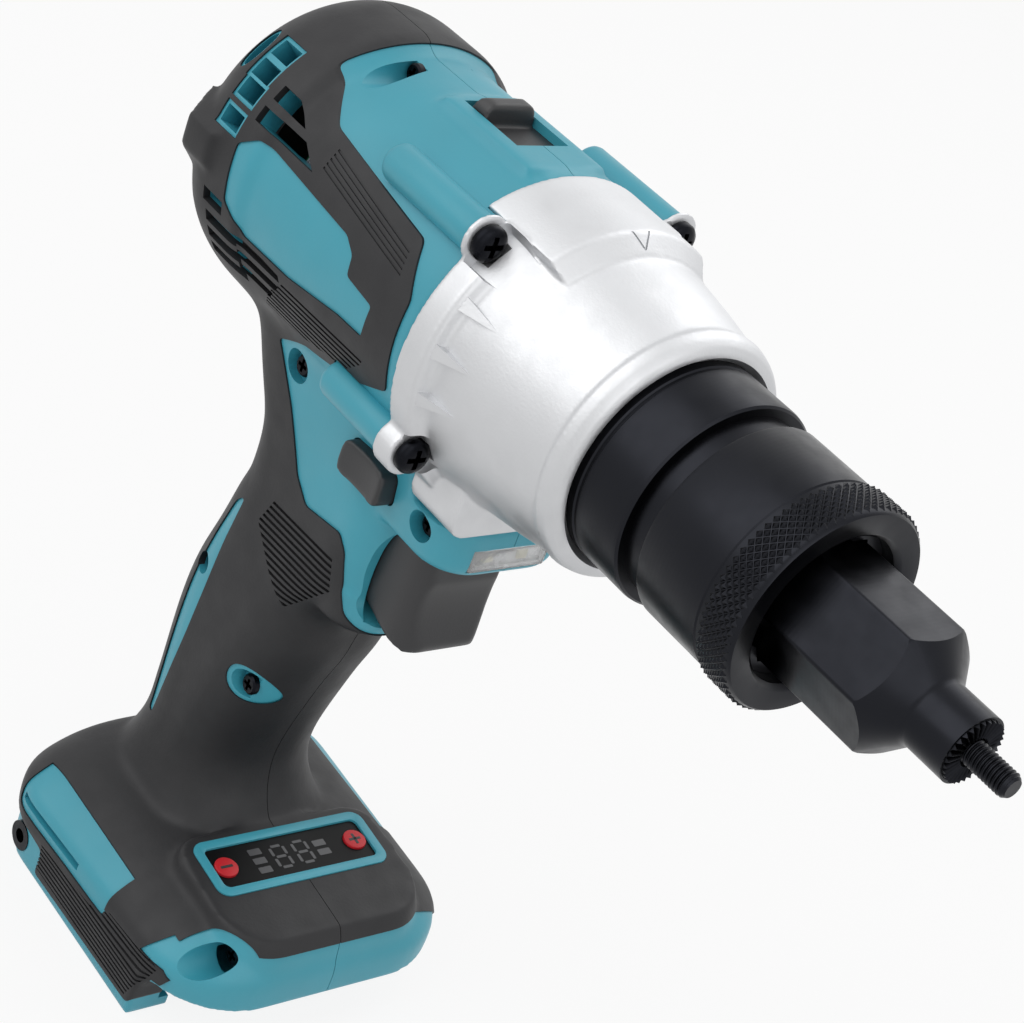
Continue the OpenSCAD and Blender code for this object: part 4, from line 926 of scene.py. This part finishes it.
class NUTSETTER_OT_nosepiece(bpy.types.Operator):
    """Hexagon, cone and anvil with a serrated face"""
    bl_idname = "nutsetter.nosepiece"
    bl_label = "Nosepiece"

    def execute(self, context):
        sizes = context.scene.nutsetter_sizes
        across_flats, tip, tooth_height = 23.2, 126.2, 0.8
        face = tip - tooth_height
        hexagon = rounded(arc(across_flats / math.sqrt(3), 0, 360, 6)[:-1], 0.5, 3)
        cone = turned([(0, 84), (13, 84), (13.6, 84.6), (13.6, 109.6), (13, 110.7), (7.3, 115.6),
                       (6.9, 116.1), (6.7, 116.8), (6.7, 125.4), (6.3, face), (0, face)], 128)
        body = combine(prism(hexagon, 84, 127, "x"), cone, "INTERSECT")
        union(body, rod(75, 85, 9.7))
        cut(body, rod(74, 99.8, 5, steps=64), rod(74, 128, 2.8, steps=48))
        half, root = math.pi * 6.2 / sizes.serrations, face - 0.2
        tooth = blank([(root, 0.3 * half, 2.9), (root, -0.3 * half, 2.9), (tip - 0.1, 0, 2.9),
                       (root, half, 6.25), (root, -half, 6.25), (tip, 0, 6.1)],
                      [(0, 1, 2), (3, 5, 4), (0, 3, 4, 1), (1, 4, 5, 2), (2, 5, 3, 0)])
        teeth = round_row(tooth, "black_steel", sizes.serrations)
        place(merge(body, teeth), "anvil_nosepiece", "tool", "black_steel", "nosepiece", angle=25)
        return {"FINISHED"}


class NUTSETTER_OT_mandrel(bpy.types.Operator):
    """Mandrel with a real thread on its free end"""
    bl_idname = "nutsetter.mandrel"
    bl_label = "Threaded mandrel"

    def execute(self, context):
        pitch = context.scene.nutsetter_sizes.thread_pitch
        root, crest = 2.0, 2.45
        start, tip, rear, row = 125.4, MANDREL_TIP, 58.5, 0.08
        steps = 40
        rings = []
        for x in [start + row * k for k in range(int((tip - start) / row))] + [tip]:
            ring = []
            for k, (y, z) in enumerate(arc(1, 0, 360, steps)[:-1]):
                wave = abs(((x / pitch - k / steps) % 1) * 2 - 1)
                flank = root + (crest - root) * min(max((wave - 0.15) / 0.7, 0), 1)
                radius = min(flank, crest - max(0, x - tip + 0.9) * 0.75)
                ring.append((x, radius * y, radius * z))
            rings.append(ring)
        shank = turned([(0, rear), (4, rear), (4, 67.2), (5.5, 67.2), (5.5, 70.2), (4, 70.2), (4, 95.8),
                        (root, 95.8), (root, start + 0.3), (0, start + 0.3)], 64)
        low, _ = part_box("mandrel")
        shift = (low.x - TO_FRAME.translation.x) / MM - rear
        for vertex in shank.data.vertices:
            if vertex.co.x < 90:
                vertex.co.x += shift
        place(merge(skin(rings), shank), "threaded_mandrel", "mandrel", "black_steel", "mandrel", angle=50)
        return {"FINISHED"}


class NUTSETTER_OT_controls(bpy.types.Operator):
    """Trigger, direction lever and speed slider"""
    bl_idname = "nutsetter.controls"
    bl_label = "Controls"

    def execute(self, context):
        trigger = cut(prism(TRIGGER, -10.75, 10.75, "y"), peg(30, -57, -20, 20, 19, 96))
        combine(trigger, prism(round_rect(32, 21.5, 9, -1.5, steps=12), -80, -30, "z"), "INTERSECT")
        soften(trigger, 0.45, 14)
        # Its cheeks pass beside the switch
        cut(trigger, block(-6, -1, -9.3, 9.3, -70, -40))
        union(trigger, rod(-13.4, 0, 3, 0, -55, 32))
        place(trigger, "finger_trigger", "trigger", "dark_plastic", "trigger", angle=60)
        lever = prism(round_rect(14, 8, 2, -5, -35.5), -21.5, 21.5, "y")
        upright = Matrix.Rotation(math.pi / 2, 4, "X")
        cut(lever, *[moved(peg(0, 0, -12, 12, 30, 160),
                           Matrix.Translation((-5, side * 50.6, -35.5)) @ upright) for side in SIDES])
        soften(lever, 0.4, 14)
        place(lever, "side_lever", "lever", "dark_plastic", "direction_lever", angle=60)
        tab = [(-26.5, 29), (-20.5, 29), (-20.8, 34.2), (-21.4, 34.8), (-23.6, 34.8), (-24.6, 34.2)]
        slider = union(block(-27, -8, -7.3, 7.3, 28.8, 30.3),
                       combine(prism(tab, -6, 6, "y"), prism(round_rect(12, 14, 2.5, 0, 27.8), -28, -20, "x"),
                               "INTERSECT"))
        soften(slider, 0.3, 5)
        place(slider, "thumb_slider", "slider", "dark_plastic", "speed_slider", angle=60)
        return {"FINISHED"}


class NUTSETTER_OT_lamp(bpy.types.Operator):
    """Lens of the work lamp with its reflector and diodes"""
    bl_idname = "nutsetter.lamp"
    bl_label = "Lamp"

    def execute(self, context):
        lens = bevel(block(18.2, 20.2, -9.4, 9.4, -42.5, -37.5), 0.5, 3)
        place(lens, "lamp_window", "tool", "clear_plastic", "lamp_lens")
        bowl = cut(block(17.05, 18.1, -9.4, 9.4, -42.5, -37.5), block(17.5, 19, -8.6, 8.6, -41.8, -38.2))
        chips = [dressed(bevel(block(17.4, 17.9, y - 1.2, y + 1.2, -41.2, -38.8), 0.15), "phosphor")
                 for y in (-4, 4)]
        place(merge(dressed(bowl, "reflector"), *chips), "lamp_reflector", "tool", "bright_steel",
              dress=False)
        return {"FINISHED"}


class NUTSETTER_OT_display(bpy.types.Operator):
    """Display with its bezel, unlit digits and two buttons"""
    bl_idname = "nutsetter.display"
    bl_label = "Display"

    def execute(self, context):
        bezel = cut(prism(round_rect(*DISPLAY_SIZE), -3.4, 0.3, "z"),
                    prism(round_rect(*WINDOW_SIZE), -4, 1, "z"))
        moved(bevel(bezel, 0.3, 2, 50), DISPLAY)
        place(bezel, "display_frame", "tool", "teal_plastic", "display_bezel")
        window = cut(prism(round_rect(*WINDOW_SIZE), -3.4, -0.3, "z"),
                     *[prism(round_rect(5.5, 5.5, 2.74, 0, side * BUTTON_ACROSS), -5, 1, "z")
                       for side in SIDES])
        bars = []
        for middle in (-2.6, 3.2):
            bars += [(x, middle, 0.7, 2.4) for x in (-3, 0, 3)]
            bars += [(x, middle + y, 2.2, 0.7) for x in (-1.5, 1.5) for y in (-1.7, 1.7)]
        bars += [(x, -8.2, 1.7, 3.2) for x in (-2.6, 0, 2.6)] + [(x, 8.2, 1.7, 3.2) for x in (-1.4, 1.2)]
        digits = [dressed(prism(round_rect(length, width, 0.2, x, y, 2), -0.4, -0.26, "z"), "segments")
                  for x, y, length, width in bars]
        glass = moved(merge(dressed(window, "gloss_black"), *digits), DISPLAY)
        place(glass, "display_glass", "tool", "gloss_black", "display_window", dress=False)
        for side, word, marks in ((-1, "minus", [(0.7, 3)]), (1, "plus", [(0.7, 3), (3, 0.7)])):
            across = side * BUTTON_ACROSS
            cap = bevel(prism(round_rect(5.4, 5.4, 2.69, 0, across), -2.8, 0.3, "z"), 0.35, 3)
            signs = [dressed(prism(round_rect(length, width, 0.1, 0, across, 2), 0.2, 0.33, "z"),
                             "black_plastic") for length, width in marks]
            made = moved(merge(dressed(cap, "red_plastic"), *signs), DISPLAY)
            place(made, f"{word}_cap", word, "red_plastic", f"{word}_button", dress=False)
        return {"FINISHED"}


INSIDE = {
    "bright_steel": ["puller", "mandrel_cap", "pull_screw", "screw_nut", "nut_bearing", "thrust_bearing",
                     "ring_gear", "planet_carrier", "planet_gear_1", "planet_gear_2", "planet_gear_3",
                     "sun_gear", "motor_plate", "front_bearing", "rear_bearing", "motor_shaft"],
    "black_steel": ["nose_barrel", "lock_ring"],
    "screw_steel": ["hook_inserts"],
    "lamination": ["rotor", "stator"],
    "copper": ["windings"],
    "black_plastic": ["trigger_switch", "terminal_block", "fan"],
    "circuit_board": ["sensor_board", "lamp_board", "display_board", "controller_board"],
    "contact_brass": ["terminals"],
}


class NUTSETTER_OT_inside(bpy.types.Operator):
    """Finishes of the pieces that keep their solids"""
    bl_idname = "nutsetter.inside"
    bl_label = "Inner pieces"

    def execute(self, context):
        for finish, names in INSIDE.items():
            for name in names:
                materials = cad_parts[name].data.materials
                for k in range(len(materials)):
                    materials[k] = MATERIALS[finish]
        return {"FINISHED"}


def seen(tree):
    """1 for what the camera sees: directly, in a reflection or through the lens."""
    rays = node(tree, "ShaderNodeLightPath").outputs
    most = rays["Is Camera Ray"]
    for kind in ("Is Glossy Ray", "Is Transmission Ray"):
        most = node(tree, "ShaderNodeMath", {0: most, 1: rays[kind]}, operation="MAXIMUM").outputs[0]
    return most


class NUTSETTER_OT_stage(bpy.types.Operator):
    """Pale floor, soft lights and the camera"""
    bl_idname = "nutsetter.stage"
    bl_label = "Stage"

    def execute(self, context):
        scene = context.scene
        scene.view_settings.view_transform = "Standard"
        self.add_floor()
        self.add_light(scene)
        self.add_camera(scene)
        return {"FINISHED"}

    def add_floor(self):
        r = FLOOR_REACH
        ground = blank([(-r, -r, 0), (r, -r, 0), (r, r, 0), (-r, r, 0)], [(0, 1, 2, 3)])
        ground.name = ground.data.name = "floor"
        # White paper that the camera sees mostly as plain white, under soft shadows
        MATERIALS["paper"], tree, surface = shader("pale paper", (0.86, 0.86, 0.86), Roughness=0.9)
        share = node(tree, "ShaderNodeMath", {0: seen(tree), 1: PAPER_GLOW}, operation="MULTIPLY")
        white = node(tree, "ShaderNodeEmission", {"Color": (1, 1, 1, 1), "Strength": 1.0})
        mix = node(tree, "ShaderNodeMixShader", {0: share.outputs[0], 1: surface.outputs[0],
                                                 2: white.outputs[0]})
        tree.links.new(mix.outputs[0], tree.nodes["Material Output"].inputs["Surface"])
        dressed(ground, "paper")

    def add_light(self, scene):
        scene.world = bpy.data.worlds.new("studio")
        scene.world.use_nodes = True
        tree = scene.world.node_tree
        level = node(tree, "ShaderNodeMapRange", {"Value": seen(tree), "To Min": AMBIENT, "To Max": 1.0})
        tree.links.new(level.outputs[0], tree.nodes["Background"].inputs["Strength"])
        tree.nodes["Background"].inputs["Color"].default_value = (1, 1, 1, 1)
        for title, (spot, size, power) in LAMPS.items():
            lamp = bpy.data.lights.new(title, "AREA")
            lamp.energy, lamp.size = power, size
            obj = bpy.data.objects.new(title, lamp)
            scene.collection.objects.link(obj)
            obj.location = spot
            obj.rotation_euler = (Vector(LAMP_AIM) - Vector(spot)).to_track_quat("-Z", "Y").to_euler()

    def add_camera(self, scene):
        a, e, roll = (math.radians(v) for v in VIEW)
        back = Vector((math.sin(a) * math.cos(e), -math.cos(a) * math.cos(e), math.sin(e)))
        level_right = (-back).cross(Vector((0, 0, 1))).normalized()
        level_up = level_right.cross(-back)
        right = level_right * math.cos(roll) + level_up * math.sin(roll)
        up = level_up * math.cos(roll) - level_right * math.sin(roll)
        camera = bpy.data.cameras.new("photo view")
        camera.sensor_width, camera.lens = SENSOR_MM, SENSOR_MM * FOCAL_PX / PHOTO_PX
        camera.clip_start, camera.clip_end = 0.01, 50
        eye = bpy.data.objects.new("photo view", camera)
        scene.collection.objects.link(eye)
        eye.matrix_world = Matrix.Translation(EYE) @ Matrix((right, up, back)).transposed().to_4x4()
        scene.camera = eye


class NUTSETTER_PT_panel(bpy.types.Panel):
    """Lists the tool's sizes, colours and pieces"""
    bl_idname = "NUTSETTER_PT_panel"
    bl_label = "Nut setter"
    bl_space_type = "VIEW_3D"
    bl_region_type = "UI"
    bl_category = "Nut setter"

    def draw(self, context):
        for group in (context.scene.nutsetter_sizes, context.scene.nutsetter_colours):
            for key in group.bl_rna.properties.keys():
                if key not in ("rna_type", "name"):
                    self.layout.prop(group, key)
        for operator in OPERATORS:
            self.layout.operator(operator.bl_idname)


OPERATORS = (NUTSETTER_OT_stage, NUTSETTER_OT_gear_case, NUTSETTER_OT_case_screws, NUTSETTER_OT_shell_screws,
             NUTSETTER_OT_collar, NUTSETTER_OT_sleeve, NUTSETTER_OT_spring, NUTSETTER_OT_nosepiece,
             NUTSETTER_OT_mandrel, NUTSETTER_OT_controls, NUTSETTER_OT_lamp, NUTSETTER_OT_display,
             NUTSETTER_OT_inside, NUTSETTER_OT_body)
CLASSES = (NutSetterColours, NutSetterSizes) + OPERATORS + (NUTSETTER_PT_panel,)


def register():
    for cls in CLASSES:
        bpy.utils.register_class(cls)
    bpy.types.Scene.nutsetter_colours = PointerProperty(type=NutSetterColours)
    bpy.types.Scene.nutsetter_sizes = PointerProperty(type=NutSetterSizes)


def unregister():
    del bpy.types.Scene.nutsetter_sizes
    del bpy.types.Scene.nutsetter_colours
    for cls in reversed(CLASSES):
        bpy.utils.unregister_class(cls)


def main():
    register()
    make_materials(bpy.context.scene.nutsetter_colours)
    for operator in OPERATORS:
        getattr(bpy.ops.nutsetter, operator.bl_idname.split(".")[1])()


if __name__ == "__main__":
    main()
